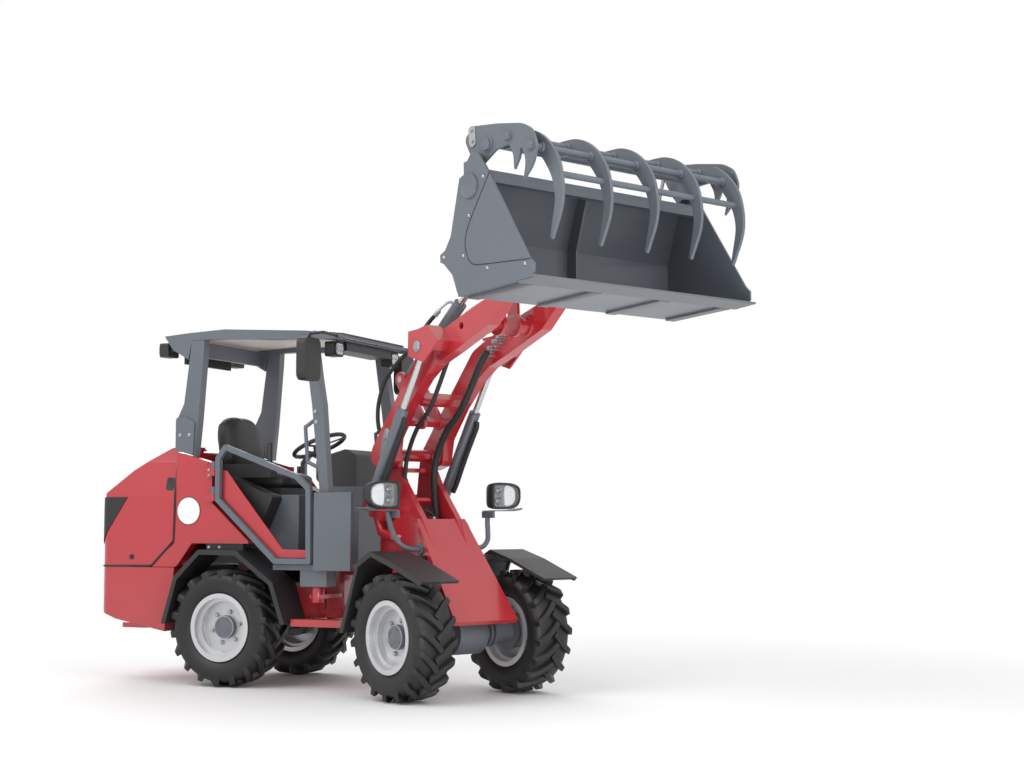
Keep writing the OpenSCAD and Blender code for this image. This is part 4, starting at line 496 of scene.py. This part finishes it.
# Tail lamps: a black moulded base on the ballast's back, with a red and an amber lens.
# The lenses are tinted acrylic mouldings, ribbed every 9 mm.
RIB_MM = 9
red_lens = coated("red_lens", "#8E1018", 0.16, 5, 0.12, 0.05, coat=0.5)
amber_lens = coated("amber_lens", "#C9660F", 0.16, 5, 0.12, 0.05, coat=0.5)
bases, reds, ambers = [], [], []
for side, sign in SIDES:
    at = np.array([-1884, sign * 286.0, 690])
    bases.append(lofted(soft_box(82, 36, 6), [0.01, 1.0, 1.0, 0.98, 0.94, 0.01], [4, 4, -10, -13, -14, -14]) + at)
    for mid, group in ((-38, reds), (34, ambers)):
        grid = lofted(soft_box(34, 28, 5), np.append([0.01, 1.0], np.linspace(1.0, 0.01, 24)),
                      np.append([-12.0, -12.0], np.full(24, -22.0)))
        grid[3:, :, 0] -= np.cos(grid[3:, :, 2] * 2 * math.pi / RIB_MM)
        group.append(grid + at + [0, sign * -mid, 0])
for name, grids, finish, slot in (("tail_lamp_bases", bases, black_plastic, "black_plastic"),
                                  ("tail_lamps_red", reds, red_lens, "red_paint"),
                                  ("tail_lamps_amber", ambers, amber_lens, "lens")):
    points, faces = stacked(grids)
    made = surface(name, rear(points), faces, finish)
    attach(made, "rear_half")

# Cab: a tub of folded sheet and a canopy of welded posts in grey enamel, with a moulded dashboard.
# The posts are bolted to the tub, and the canopy's inner panel is off-white.
dress(["cab_tub", "rear_posts", "front_posts", "roof_rails", "door_right_frame", "door_left_frame"], grey_enamel, 3.0)
dress(["seat_carrier", "roof_visor", "work_lamps", "mirrors", "plate_holder"], black_plastic, 3.0)
# The roof panel is one moulding: off-white below, and grey like the posts on the faces that look up.
GREY_HEX = "#5C626A"
off_white = coated("off_white_panel", "#DAD8D0", 0.6, 3, 0.15, 0.04)
tree = off_white.node_tree
skin = next(n for n in tree.nodes if n.type == "BSDF_PRINCIPLED")
under = skin.inputs["Base Color"].links[0].from_node
facing = put(tree, "SeparateXYZ", {"Vector": (put(tree, "NewGeometry"), "True Normal")})
upper = put(tree, "Math", {0: (facing, "Z"), 1: -0.3}, operation="GREATER_THAN")
sides = put(tree, "Mix", {0: (upper, "Value"), 6: (under, 2), 7: linear(GREY_HEX)}, data_type="RGBA")
tree.links.new(sides.outputs[2], skin.inputs["Base Color"])
dress(["roof_panel"], off_white, 3.0)
# The console is a black moulding standing on a grey sheet pedestal.
CONSOLE_FOOT_Z = 1.27
console_skin = coated("console_skin", "#2C2D2F", 0.55, 2.5, 0.22, 0.08)
tree = console_skin.node_tree
skin = next(n for n in tree.nodes if n.type == "BSDF_PRINCIPLED")
upper = skin.inputs["Base Color"].links[0].from_node
height = put(tree, "SeparateXYZ", {"Vector": (put(tree, "TexCoord"), "Object")})
below = put(tree, "Math", {0: (height, "Z"), 1: CONSOLE_FOOT_Z}, operation="LESS_THAN")
parted = put(tree, "Mix", {0: (below, "Value"), 6: (upper, 2), 7: linear(GREY_HEX)}, data_type="RGBA")
tree.links.new(parted.outputs[2], skin.inputs["Base Color"])
dress(["dashboard"], console_skin, 3.0)
POST_BOLTS = ((-1222, 502, 1606), (-1150, 502, 1606), (-204, 490, 1668), (-212, 490, 1734))
spots = [[x, sign * y, z] for side, sign in SIDES for x, y, z in POST_BOLTS]
points, faces = hex_heads(spots, [[0, v[1], 0] for v in spots], 20, 9)
made = surface("post_bolts", rear(points), faces, zinc_plate, False)
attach(made, "rear_half")

# Seat: moulded foam under a black grained vinyl cover, sewn with raised piping along both edges.
# The cushion and back start a little small, swell under air pressure, and rest on the carrier.


def closed_curve(points, count):
    """A smooth closed line through corner points: Catmull-Rom, four neighbours weighted by cubic terms of t."""
    p = np.asarray(points, float)
    t = np.linspace(0, len(p), count, endpoint=False)
    i = t.astype(int)
    f = (t - i)[:, None]
    a, b, c, d = (p[(i + k) % len(p)] for k in (-1, 0, 1, 2))
    return 0.5 * (2 * b + (c - a) * f + (2 * a - 5 * b + 4 * c - d) * f ** 2 + (3 * b - a - 3 * c + d) * f ** 3)


PAD_ROWS, PAD_COLS = 33, 56


def pad_form(outline, half, power):
    """A side outline carried across the seat, drawn in towards both ends by scale = (1 - |v|^p)^(1/p)."""
    line = closed_curve(outline, PAD_COLS)
    v = np.sin(np.linspace(-math.pi / 2, math.pi / 2, PAD_ROWS))
    scale = np.maximum(1 - np.abs(v) ** power, 1e-4) ** (1 / power)
    mid = (line.max(0) + line.min(0)) / 2
    xz = mid + (line - mid)[None] * scale[:, None, None]
    y = np.broadcast_to((half * v)[:, None], xz.shape[:2])
    return np.stack([xz[..., 0], y, xz[..., 1]], -1)


def stuffed(made, voxel, cap):
    """Foam under a tight cover: the form is remeshed evenly, blown up as cloth with the air's pressure and no weight,
    and no point moves more than the cap."""
    remesh = made.modifiers.new("remesh", "REMESH")
    remesh.mode = "VOXEL"
    remesh.voxel_size = voxel
    even = bpy.data.meshes.new_from_object(made.evaluated_get(bpy.context.evaluated_depsgraph_get()))
    made.modifiers.clear()
    made.data = even
    rest = np.zeros(len(even.vertices) * 3)
    even.vertices.foreach_get("co", rest)
    cloth = made.modifiers.new("cover", "CLOTH")
    cloth.settings.use_pressure = True
    cloth.settings.uniform_pressure_force = 4.0
    cloth.settings.effector_weights.gravity = 0.0
    for step in range(1, 21):
        scene.frame_set(step)
    blown = np.zeros_like(rest)
    made.evaluated_get(bpy.context.evaluated_depsgraph_get()).data.vertices.foreach_get("co", blown)
    made.modifiers.clear()
    scene.frame_set(1)
    move = (blown - rest).reshape(-1, 3)
    far = np.linalg.norm(move, axis=1, keepdims=True)
    rest = (rest.reshape(-1, 3) + move * np.minimum(1, cap / np.maximum(far, 1e-9))).ravel()
    even.vertices.foreach_set("co", rest)
    even.polygons.foreach_set("use_smooth", np.full(len(even.polygons), True))
    even.update()


# Grained vinyl: dark, soft sheen, pebbled grain drawn 3 mm wide so that it shows.
seat_vinyl = coated("seat_vinyl", "#27282A", 0.5, 3, 0.3, 0.1)
SEAT = {
    "seat_cushion": ([[-1040, 1276], [-840, 1272], [-640, 1274], [-608, 1310], [-636, 1352], [-780, 1366],
                      [-920, 1350], [-1040, 1334]], 222, 5.0),
    "seat_back": ([[-1078, 1312], [-1052, 1350], [-1008, 1490], [-1030, 1640], [-1064, 1728], [-1110, 1752],
                   [-1160, 1722], [-1152, 1560], [-1122, 1420]], 222, 3.2),
}
for name, (outline, half, power) in SEAT.items():
    form = pad_form(outline, half, power)
    faces = grid_faces(PAD_ROWS, PAD_COLS, False, True)[:, ::-1]
    pad = surface("foam_" + name, rear(form.reshape(-1, 3)), faces, seat_vinyl)
    stuffed(pad, 0.008, 0.007)
    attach(pad, "rear_half")
    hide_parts(name)
    for side, row in (("right", 6), ("left", 26)):
        line = rear(form[row])
        stuck = np.array([pad.closest_point_on_mesh(q)[1] for q in line.tolist()])
        stuck = np.concatenate([stuck, stuck[:1]])
        points, faces = tube(stuck, 0.0045, 8)
        piping = surface("piping_" + name + "_" + side, points, faces, seat_vinyl)
        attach(piping, "rear_half")

# Headlamps: black moulded pods on bent grey stays, narrower at the outer end, each with two round reflectors beside
# a ribbed light strip behind a clear cover; the work lamps under the canopy are small black boxes with six reflectors.
POD = [[0.0, 0.5], [0.01, 0.86], [0.07, 0.97], [0.35, 1.0], [0.75, 0.96], [0.96, 0.82], [1.0, 0.55], [0.97, 0.27],
       [0.82, 0.07], [0.45, 0.0], [0.07, 0.02], [0.01, 0.14]]
# Vapour-coated reflector: bright aluminium film on moulded plastic, with a slight ripple 6 mm wide.
reflector_film = coated("reflector_film", "#B4B6B9", 0.16, 6, 0.06, 0.05, metal=0.95)
# The headlamps' own reflector is smoked, and the strip is a milky light guide.
dark_reflector = coated("dark_reflector", "#6E7174", 0.3, 5, 0.08, 0.05, metal=0.8)
light_strip = coated("light_strip", "#E6E8EA", 0.25, 4, 0.06, 0.03)
# Clear polycarbonate: see-through, hard and smooth, slightly grey at the edge.
clear_cover = bpy.data.materials.new("clear_cover")
clear_cover.use_nodes = True
tree = clear_cover.node_tree
tree.nodes.clear()
place = put(tree, "TexCoord")
flow = put(tree, "TexNoise", {"Vector": (place, "Object"), "Scale": 1000 / 40, "Detail": 2.0})
haze = put(tree, "MapRange", {"Value": (flow, "Fac"), "To Min": 0.03, "To Max": 0.1})
glass = put(tree, "BsdfPrincipled", {"Base Color": linear("#E4E8EA"), "Roughness": (haze, "Result"),
                                     "Alpha": 0.16, "IOR": 1.58})
put(tree, "OutputMaterial", {"Surface": (glass, "BSDF")})

BULB_Y, BULB_Z, BOWL_X = 420, (1240, 1174), 684.0
STRIP = [[466, 1152], [466, 1264], [510, 1268], [542, 1248], [552, 1212], [544, 1172], [512, 1148]]
pod_line = closed_curve(np.array(POD) * [232, 168] + [354, 1123], 120)
strip_line = closed_curve(STRIP, 90)
strip_scale, cover_scale = np.linspace(1, 0.01, 30), np.linspace(0.83, 0.01, 14)
pods, bowls, strips, covers = [], [], [], []
for side, sign in SIDES:
    pods.append(lofted(pod_line, [0.02, 0.55, 0.8, 0.94, 1.0, 1.0, 0.985, 0.94, 0.86, 0.825, 0.81],
                       [604, 604, 614, 646, 676, 701, 706, 708, 706, 700, 682], sign))
    bowl = lofted(pod_line, np.linspace(0.82, 0.004, 44), np.full(44, BOWL_X), sign)
    reach = np.stack([np.hypot(sign * bowl[..., 1] - BULB_Y, bowl[..., 2] - z) for z in BULB_Z])
    bowl[..., 0] -= (22 * np.clip(1 - (reach / 28) ** 2, 0, 1)).max(0)
    bowls.append(bowl)
    strip = lofted(strip_line, strip_scale, np.full(30, 692.0), sign)
    strip[..., 0] += 1.6 * np.sin(strip[..., 2] * 2 * math.pi / 11) * np.clip(1.2 - strip_scale, 0, 1)[:, None]
    strip[0, :, 0] = 682
    strips.append(strip)
    covers.append(lofted(pod_line, cover_scale, 702 + 5 * (1 - cover_scale ** 2), sign))
points, faces = stacked(pods)
made = surface("headlamp_pods", front(points), faces, black_plastic)
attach(made, "front_half")
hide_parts("headlamps")
points, faces = stacked(bowls)
made = surface("headlamp_reflectors", front(points), faces, dark_reflector)
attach(made, "front_half")
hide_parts("headlamp_lenses")
points, faces = stacked(strips)
made = surface("headlamp_strips", front(points), faces, light_strip)
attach(made, "front_half")
points, faces = stacked(covers)
made = surface("headlamp_covers", front(points), faces, clear_cover)
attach(made, "front_half")


def joined(pieces):
    """Several (points, faces) pairs as one: each one's faces count on from the points before it."""
    starts = np.cumsum([0] + [len(points) for points, faces in pieces])
    faces = [[int(v) + start for v in face] for (points, faces), start in zip(pieces, starts) for face in faces]
    return np.concatenate([points for points, faces in pieces]), faces


# A bulb stands in the middle of each reflector: a turned knob laid over to point forwards.
knob, knob_faces = turned([[0, 0, 0]], [1], [0.3, 5, 7, 7, 0.3], [0, 0.5, 3, 6, 9], 20)
knob = np.stack([knob[:, 1] - 20, knob[:, 0], knob[:, 2]], 1)
points, faces = joined([(knob + [BOWL_X, sign * BULB_Y, z], knob_faces) for side, sign in SIDES for z in BULB_Z])
made = surface("headlamp_bulbs", front(points), faces, reflector_film)
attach(made, "front_half")

WORK_LAMPS = (([-113, -372, 2136], 1), ([-113, 372, 2136], 1), ([-1435, -392, 2178], -1), ([-1435, 392, 2178], -1))
box_line = soft_box(52, 40, 5)
rim = lofted(box_line, [1.0, 1.0, 0.97, 0.88, 0.85, 0.84], [-1, 7, 9, 9, 7, 0.5])
cup = lofted(box_line, np.linspace(0.86, 0.01, 40), np.full(40, 7.0))
reach = np.stack([np.hypot(cup[..., 1] - y, cup[..., 2] - z) for y in (-28, 0, 28) for z in (-15, 15)])
cup[..., 0] -= (6 * np.clip(1 - (reach / 14) ** 2, 0, 1)).max(0)
rims = [rim * [ahead, 1, 1] + at for at, ahead in WORK_LAMPS]
cups = [cup * [ahead, 1, 1] + at for at, ahead in WORK_LAMPS]
points, faces = stacked(rims)
made = surface("work_lamp_rims", rear(points), faces, black_plastic)
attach(made, "rear_half")
points, faces = stacked(cups)
made = surface("work_lamp_reflectors", rear(points), faces, reflector_film)
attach(made, "rear_half")
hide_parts("work_lamp_lenses")

# Lamp stays: each headlamp stands on a thin plate, folded down at its inner end, in grey enamel.
# A bent tube carries the plate from a round flange on the frame.
STAY = [[690, 190, 880], [686, 240, 880], [680, 300, 892], [668, 345, 930], [645, 366, 985], [628, 376, 1040],
        [622, 386, 1104]]
PLATE_FOLD = [[366, 1068], [365, 1100], [368, 1110], [378, 1113], [440, 1114], [520, 1114], [572, 1120], [596, 1128]]
PLATE_ROWS, PLATE_COLS = 6, 60
yz = open_curve(PLATE_FOLD, PLATE_COLS)
x = np.linspace(588, 712, PLATE_ROWS)[:, None]
plates = [np.stack(np.broadcast_arrays(x, sign * yz[None, :, 0], yz[None, :, 1]), -1) for side, sign in SIDES]
points, faces = joined([tube(open_curve(np.array(STAY) * [1, sign, 1], 60), 16.0, 18) for side, sign in SIDES])
made = surface("headlamp_tubes", front(points), faces, grey_enamel)
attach(made, "front_half")
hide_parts("headlamp_stays")
points, faces = joined([(grid.reshape(-1, 3), grid_faces(PLATE_ROWS, PLATE_COLS)) for grid in plates])
made = surface("headlamp_plates", front(points), faces, grey_enamel)
thicken = made.modifiers.new("sheet", "SOLIDIFY")
thicken.thickness = 0.006
thicken.offset = 0.0
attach(made, "front_half")
points, faces = turned([[690, -190, 880], [690, 190, 880]], [-1, 1], [36, 36, 34, 18, 18, 0.3],
                       [-0.5, 10, 12, 12.5, 20, 20], 40)
made = surface("headlamp_flanges", front(points), faces, grey_enamel)
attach(made, "front_half")

# Mirror glass: silvered, a little convex, clipped into the rear side of each black mirror case.
# Silvering gives a clear, bright reflection with a faint waviness 60 mm wide.
silvered_glass = coated("silvered_glass", "#C8CED2", 0.05, 60, 0.02, 0.02, metal=1.0)
scales = [0.01, 1.0, 1.0, 0.985, 0.8, 0.6, 0.4, 0.2, 0.01]
glass = lofted(soft_box(80, 118, 4), scales, [2, 2, -1.2, -2.0, -2.9, -3.6, -4.0, -4.3, -4.4])
points, faces = stacked([glass + [-207, sign * 636, 2050] for side, sign in SIDES])
made = surface("mirror_glass", rear(points), faces, silvered_glass)
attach(made, "rear_half")

# Lift arm and linkage: a welded arm and lever in red enamel.
# The cylinders, the link and the quick hitch are sprayed grey.
dress(["lift_arm"], red_enamel, 4.0)
dress(["lift_barrels", "tilt_barrel"], grey_enamel, 2.0)
dress(["tilt_lever"], red_enamel, 3.0)
dress(["tilt_link", "quick_hitch"], grey_enamel, 3.0)

# Hydraulic hoses: black rubber over braid, clipped along the cylinders and the arm.
# Two run up between the beams and bend at the arm's pivot; the thick one is a ribbed sleeve round several hoses.
HOSE_STEPS = 110
hose_rubber = coated("hose_rubber", "#1D1D1F", 0.6, 4, 0.3, 0.1)
HOSES = {
    "hose_arm_right": ("front_half", "arm", 14, [
        [470, -100, 1052], [436, -128, 1240], [440, -128, 1360], [478, -130, 1480], [567, -132, 1616],
        [704, -134, 1736], [810, -136, 1890], [900, -138, 2030], [1000, -138, 2120], [1150, -138, 2170]]),
    "hose_sleeve": ("front_half", "arm", 22, [
        [486, 84, 1052], [448, 92, 1250], [448, 92, 1370], [488, 92, 1490], [578, 92, 1610], [714, 94, 1730],
        [822, 98, 1880], [900, 104, 2010], [950, 112, 2080]]),
}
for name, (lower, upper, thick, route) in HOSES.items():
    ribs = 1.6 * np.sin(np.arange(HOSE_STEPS) * 2.1) if name == "hose_sleeve" else 0
    points, faces = tube(front(open_curve(route, HOSE_STEPS)), (thick + ribs) / 1000, 14)
    hose = surface(name, points, faces, hose_rubber)
    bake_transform(hose)
# The tilt cylinder's hose hangs behind the right beam in a long bow, and a plated elbow joins it to the barrel's head.
route = [[330, -200, 1560], [268, -200, 1600], [240, -200, 1690], [252, -200, 1800], [306, -190, 1930],
         [400, -166, 2034], [510, -138, 2124], [640, -108, 2262], [712, -88, 2326]]
points, faces = tube(front(open_curve(route, HOSE_STEPS)), 0.013, 14)
hose = surface("hose_tilt", points, faces, hose_rubber)
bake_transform(hose)
route = [[696, -92, 2312], [716, -86, 2332], [738, -72, 2362], [760, -50, 2386], [776, -28, 2392], [786, -8, 2378]]
PIPE_STEPS = 50
pipe_r = np.interp(np.linspace(0, 1, PIPE_STEPS), [0, 0.26, 0.28, 0.84, 0.86, 1.0], [16.5, 16.5, 9, 9, 14, 14]) / 1000
points, faces = tube(front(open_curve(route, PIPE_STEPS)), pipe_r, 12)
made = surface("pipe_tilt", points, faces, zinc_plate)
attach(made, "tilt_cylinder_barrel")
# A hose follows each lift cylinder, off its axis by the second row of values, at the first row's shares of its length.
LIFT_FOOT, LIFT_RUN, LIFT_OUT = np.array([270.0, 1150.0]), np.array([354.0, 588.0]), np.array([0.857, -0.516])
share = np.array([0.93, 0.88, 0.78, 0.62, 0.46, 0.3, 0.2])[:, None]
off = np.array([50, 66, 66, 64, 66, 70, 66])[:, None]
xz = LIFT_FOOT + share * LIFT_RUN + off * LIFT_OUT
for side, sign in SIDES:
    route = np.stack([xz[:, 0], np.full(len(xz), sign * 278.0), xz[:, 1]], 1)
    points, faces = tube(front(open_curve(route, 70)), 0.017, 12)
    hose = surface("hose_lift_" + side, points, faces, hose_rubber)
    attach(hose, "lift_cylinder_barrels")
# Turned bush of bare steel, greyer than the ground pins.
bush_steel = coated("bush_steel", "#8C8E90", 0.36, 2, 0.1, 0.06, metal=1.0)
dress(["lever_bush"], bush_steel)

# Lid of the front frame: a folded sheet in red enamel between the tower plates.
# Three short hoses loop over it, out of plated couplings that are screwed into the sheet.
LID_ROWS, LID_COLS = 8, 48
xz = open_curve([[444, 1068], [448, 1058], [458, 1054], [540, 1052], [610, 1050], [630, 1044], [636, 1034]], LID_COLS)
y = np.linspace(-127, 127, LID_ROWS)[:, None]
grid = np.stack(np.broadcast_arrays(xz[None, :, 0], y, xz[None, :, 1]), -1)
made = surface("frame_lid", front(grid.reshape(-1, 3)), grid_faces(LID_ROWS, LID_COLS), red_enamel)
thicken = made.modifiers.new("sheet", "SOLIDIFY")
thicken.thickness = 0.005
thicken.offset = 0.0
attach(made, "front_half")
loops = {"a": [[500, 30, 1050], [502, 34, 1090], [470, 60, 1128], [440, 90, 1110], [446, 112, 1060]],
         "b": [[530, 20, 1050], [534, 22, 1084], [512, -30, 1120], [476, -70, 1096], [470, -84, 1052]],
         "c": [[556, 10, 1050], [560, 6, 1080], [548, -50, 1112], [520, -100, 1092], [512, -116, 1052]]}
for name, route in loops.items():
    points, faces = tube(front(open_curve(route, 60)), 0.008, 10)
    made = surface("hose_frame_" + name, points, faces, hose_rubber)
    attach(made, "front_half")
spots = [[500, 30, 1052], [530, 20, 1052], [556, 10, 1052], [446, 112, 1056], [512, -116, 1052]]
points, faces = hex_heads(spots, [[0, 0, 1]] * 5, 24, 26)
made = surface("frame_couplings", front(points), faces, zinc_plate, False)
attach(made, "front_half")

# Arm fittings: quick couplers for the grab on the left beam, and keeper plates with their bolts over the pivot pins.
# All are zinc-plated steel, screwed on.
places = [[930, 160, 2062], [975, 160, 2098], [1020, 160, 2134], [1065, 160, 2160]]
points, faces = turned(places, [-1] * 4, [19, 19, 15, 15, 18, 18, 15.5, 15.5, 10, 9, 0.3],
                       [-1, 10, 11, 24, 25, 42, 43, 58, 59, 62, 62], 24)
made = surface("quick_couplers", front(points), faces, zinc_plate)
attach(made, "arm")


def strap_line(foot, head, half):
    """A round-ended strip between two points of a side view: two half circles joined by straight sides."""
    foot, head = np.asarray(foot, float), np.asarray(head, float)
    along = math.atan2(head[1] - foot[1], head[0] - foot[0])
    t = np.linspace(-math.pi / 2, math.pi / 2, 24)
    ends = [c + half * np.stack([np.cos(t + a), np.sin(t + a)], 1) for c, a in ((head, along), (foot, along + math.pi))]
    return np.concatenate(ends)


def flat_plate(line, face, sign, thick):
    """A plate of one side-view outline standing on a face at y: its edge rises by the thickness and rolls over 1 mm."""
    grid = lofted(line, [0.01, 1.0, 1.0, 0.985, 0.01], [-0.5, -0.5, thick - 1, thick, thick])
    return np.stack([grid[..., 1], sign * (face + grid[..., 0]), grid[..., 2]], -1)


KEEPER_T = 6
for name, body, foot, head, half, face, bolts in (
        ("arm_keeper", "arm", [345, 1460], [392, 1600], 26, 236, [[378, 1560]]),
        ("grab_keeper", "grab", [1918, 3128], [1924, 3066], 27, 758, [[1918, 3130], [1924, 3070]])):
    points, faces = stacked([flat_plate(strap_line(foot, head, half), face, sign, KEEPER_T) for side, sign in SIDES])
    made = surface(name + "s", front(points), faces, zinc_plate)
    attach(made, body)
    spots = [[x, sign * (face + KEEPER_T), z] for side, sign in SIDES for x, z in bolts]
    points, faces = hex_heads(spots, [[0, v[1], 0] for v in spots], 19, 9)
    made = surface(name + "_bolts", front(points), faces, zinc_plate, False)
    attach(made, body)

points, faces = turned([[845, -336, 2090], [845, 336, 2090]], [-1, 1], [34, 34, 32, 24, 22, 0.3],
                       [-0.5, 6, 8, 8.5, 13, 13], 40)
made = surface("rod_pin_caps", front(points), faces, zinc_plate)
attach(made, "arm")

# Bucket and grab: folded and welded plate in grey enamel, worn dark at the cutting edge.
# The side plates carry a shaped cheek with a dark joint line, small bright rivets and a plain round boss.
CHEEK_Y = 805.0
dress(["bucket_shell", "grab_frame", "grab_barrels"], grey_enamel, 2.0)
# Wear steel: bare hardened plate, dull and streaked by the ground, grain drawn 8 mm wide.
wear_steel = coated("wear_steel", "#6F7378", 0.45, 8, 0.2, 0.14, metal=0.6)
dress(["cutting_edge"], wear_steel, 2.0)
JOINT = np.array([[2122, 2862], [2074, 2796], [2018, 2716], [1952, 2618], [1920, 2542], [1926, 2472], [1962, 2412],
                  [2016, 2390], [2187, 2379], [2330, 2372], [2455, 2366]])
for side, sign in SIDES:
    route = np.stack([JOINT[:, 0], np.full(len(JOINT), sign * CHEEK_Y), JOINT[:, 1]], 1)
    points, faces = tube(front(open_curve(route, 120)), 0.0026, 8)
    made = surface("cheek_joint_" + side, points, faces, seal_rubber)
    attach(made, "bucket")
RIVETS = ((2071, 2849), (1951, 2659), (1904, 2451), (2107, 2362), (2413, 2346), (1734, 2464))
places = [[x, sign * CHEEK_Y, z] for side, sign in SIDES for x, z in RIVETS]
ways = [sign for side, sign in SIDES for rivet in RIVETS]
points, faces = turned(places, ways, [10, 10, 8.5, 5, 0.3], [-1, 2, 4.5, 6.5, 7], 20)
made = surface("bucket_rivets", front(points), faces, zinc_plate)
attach(made, "bucket")
points, faces = turned([[1955, -CHEEK_Y, 2816], [1955, CHEEK_Y, 2816]], [-1, 1], [68, 68, 66, 58, 55, 53, 0.4],
                       [-1, 9, 12, 13, 11, 10.4, 10.4], 64)
made = surface("bucket_bosses", front(points), faces, grey_enamel)
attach(made, "bucket")
# Grab tubes: two grey steel tubes run through all the tines and out to the end plates.
# A collar is welded on each side of every tine, and round pin heads close the tubes and the pivot.
TINES_Y, TINE_HALF = (-670, -335, 0, 335, 670), 10
TUBES = ((2400, 2962), (2220, 3043))
ends = np.linspace(-743, 743, 40)
lines = [np.stack([np.full(40, x), ends, np.full(40, z)], 1) for x, z in TUBES]
points, faces = joined([tube(line, 18.0, 20) for line in lines])
made = surface("grab_tubes", front(points), faces, grey_enamel)
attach(made, "grab")
places = [[x, y + way * TINE_HALF, z] for x, z in TUBES for y in TINES_Y for way in (-1, 1)]
points, faces = turned(places, [-1, 1] * (len(places) // 2), [27, 27, 25, 17.5], [-1, 9, 12, 14], 28)
made = surface("grab_collars", front(points), faces, grey_enamel)
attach(made, "grab")
PIN_HEADS = ((2052, 3027, 32, 22), (2220, 3043, 24, 18), (2400, 2962, 24, 18))
head_r = np.array([1.25, 1.25, 1.15, 1.0, 1.0, 0.93, 0.8, 0.01])
head_y = np.array([-0.1, 0.22, 0.3, 0.3, 0.85, 0.97, 1.0, 1.0])
points, faces = joined([turned([[x, sign * 758, z]], [sign], head_r * radius, head_y * tall, 40)
                        for side, sign in SIDES for x, z, radius, tall in PIN_HEADS])
made = surface("grab_pin_heads", front(points), faces, grey_enamel)
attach(made, "grab")
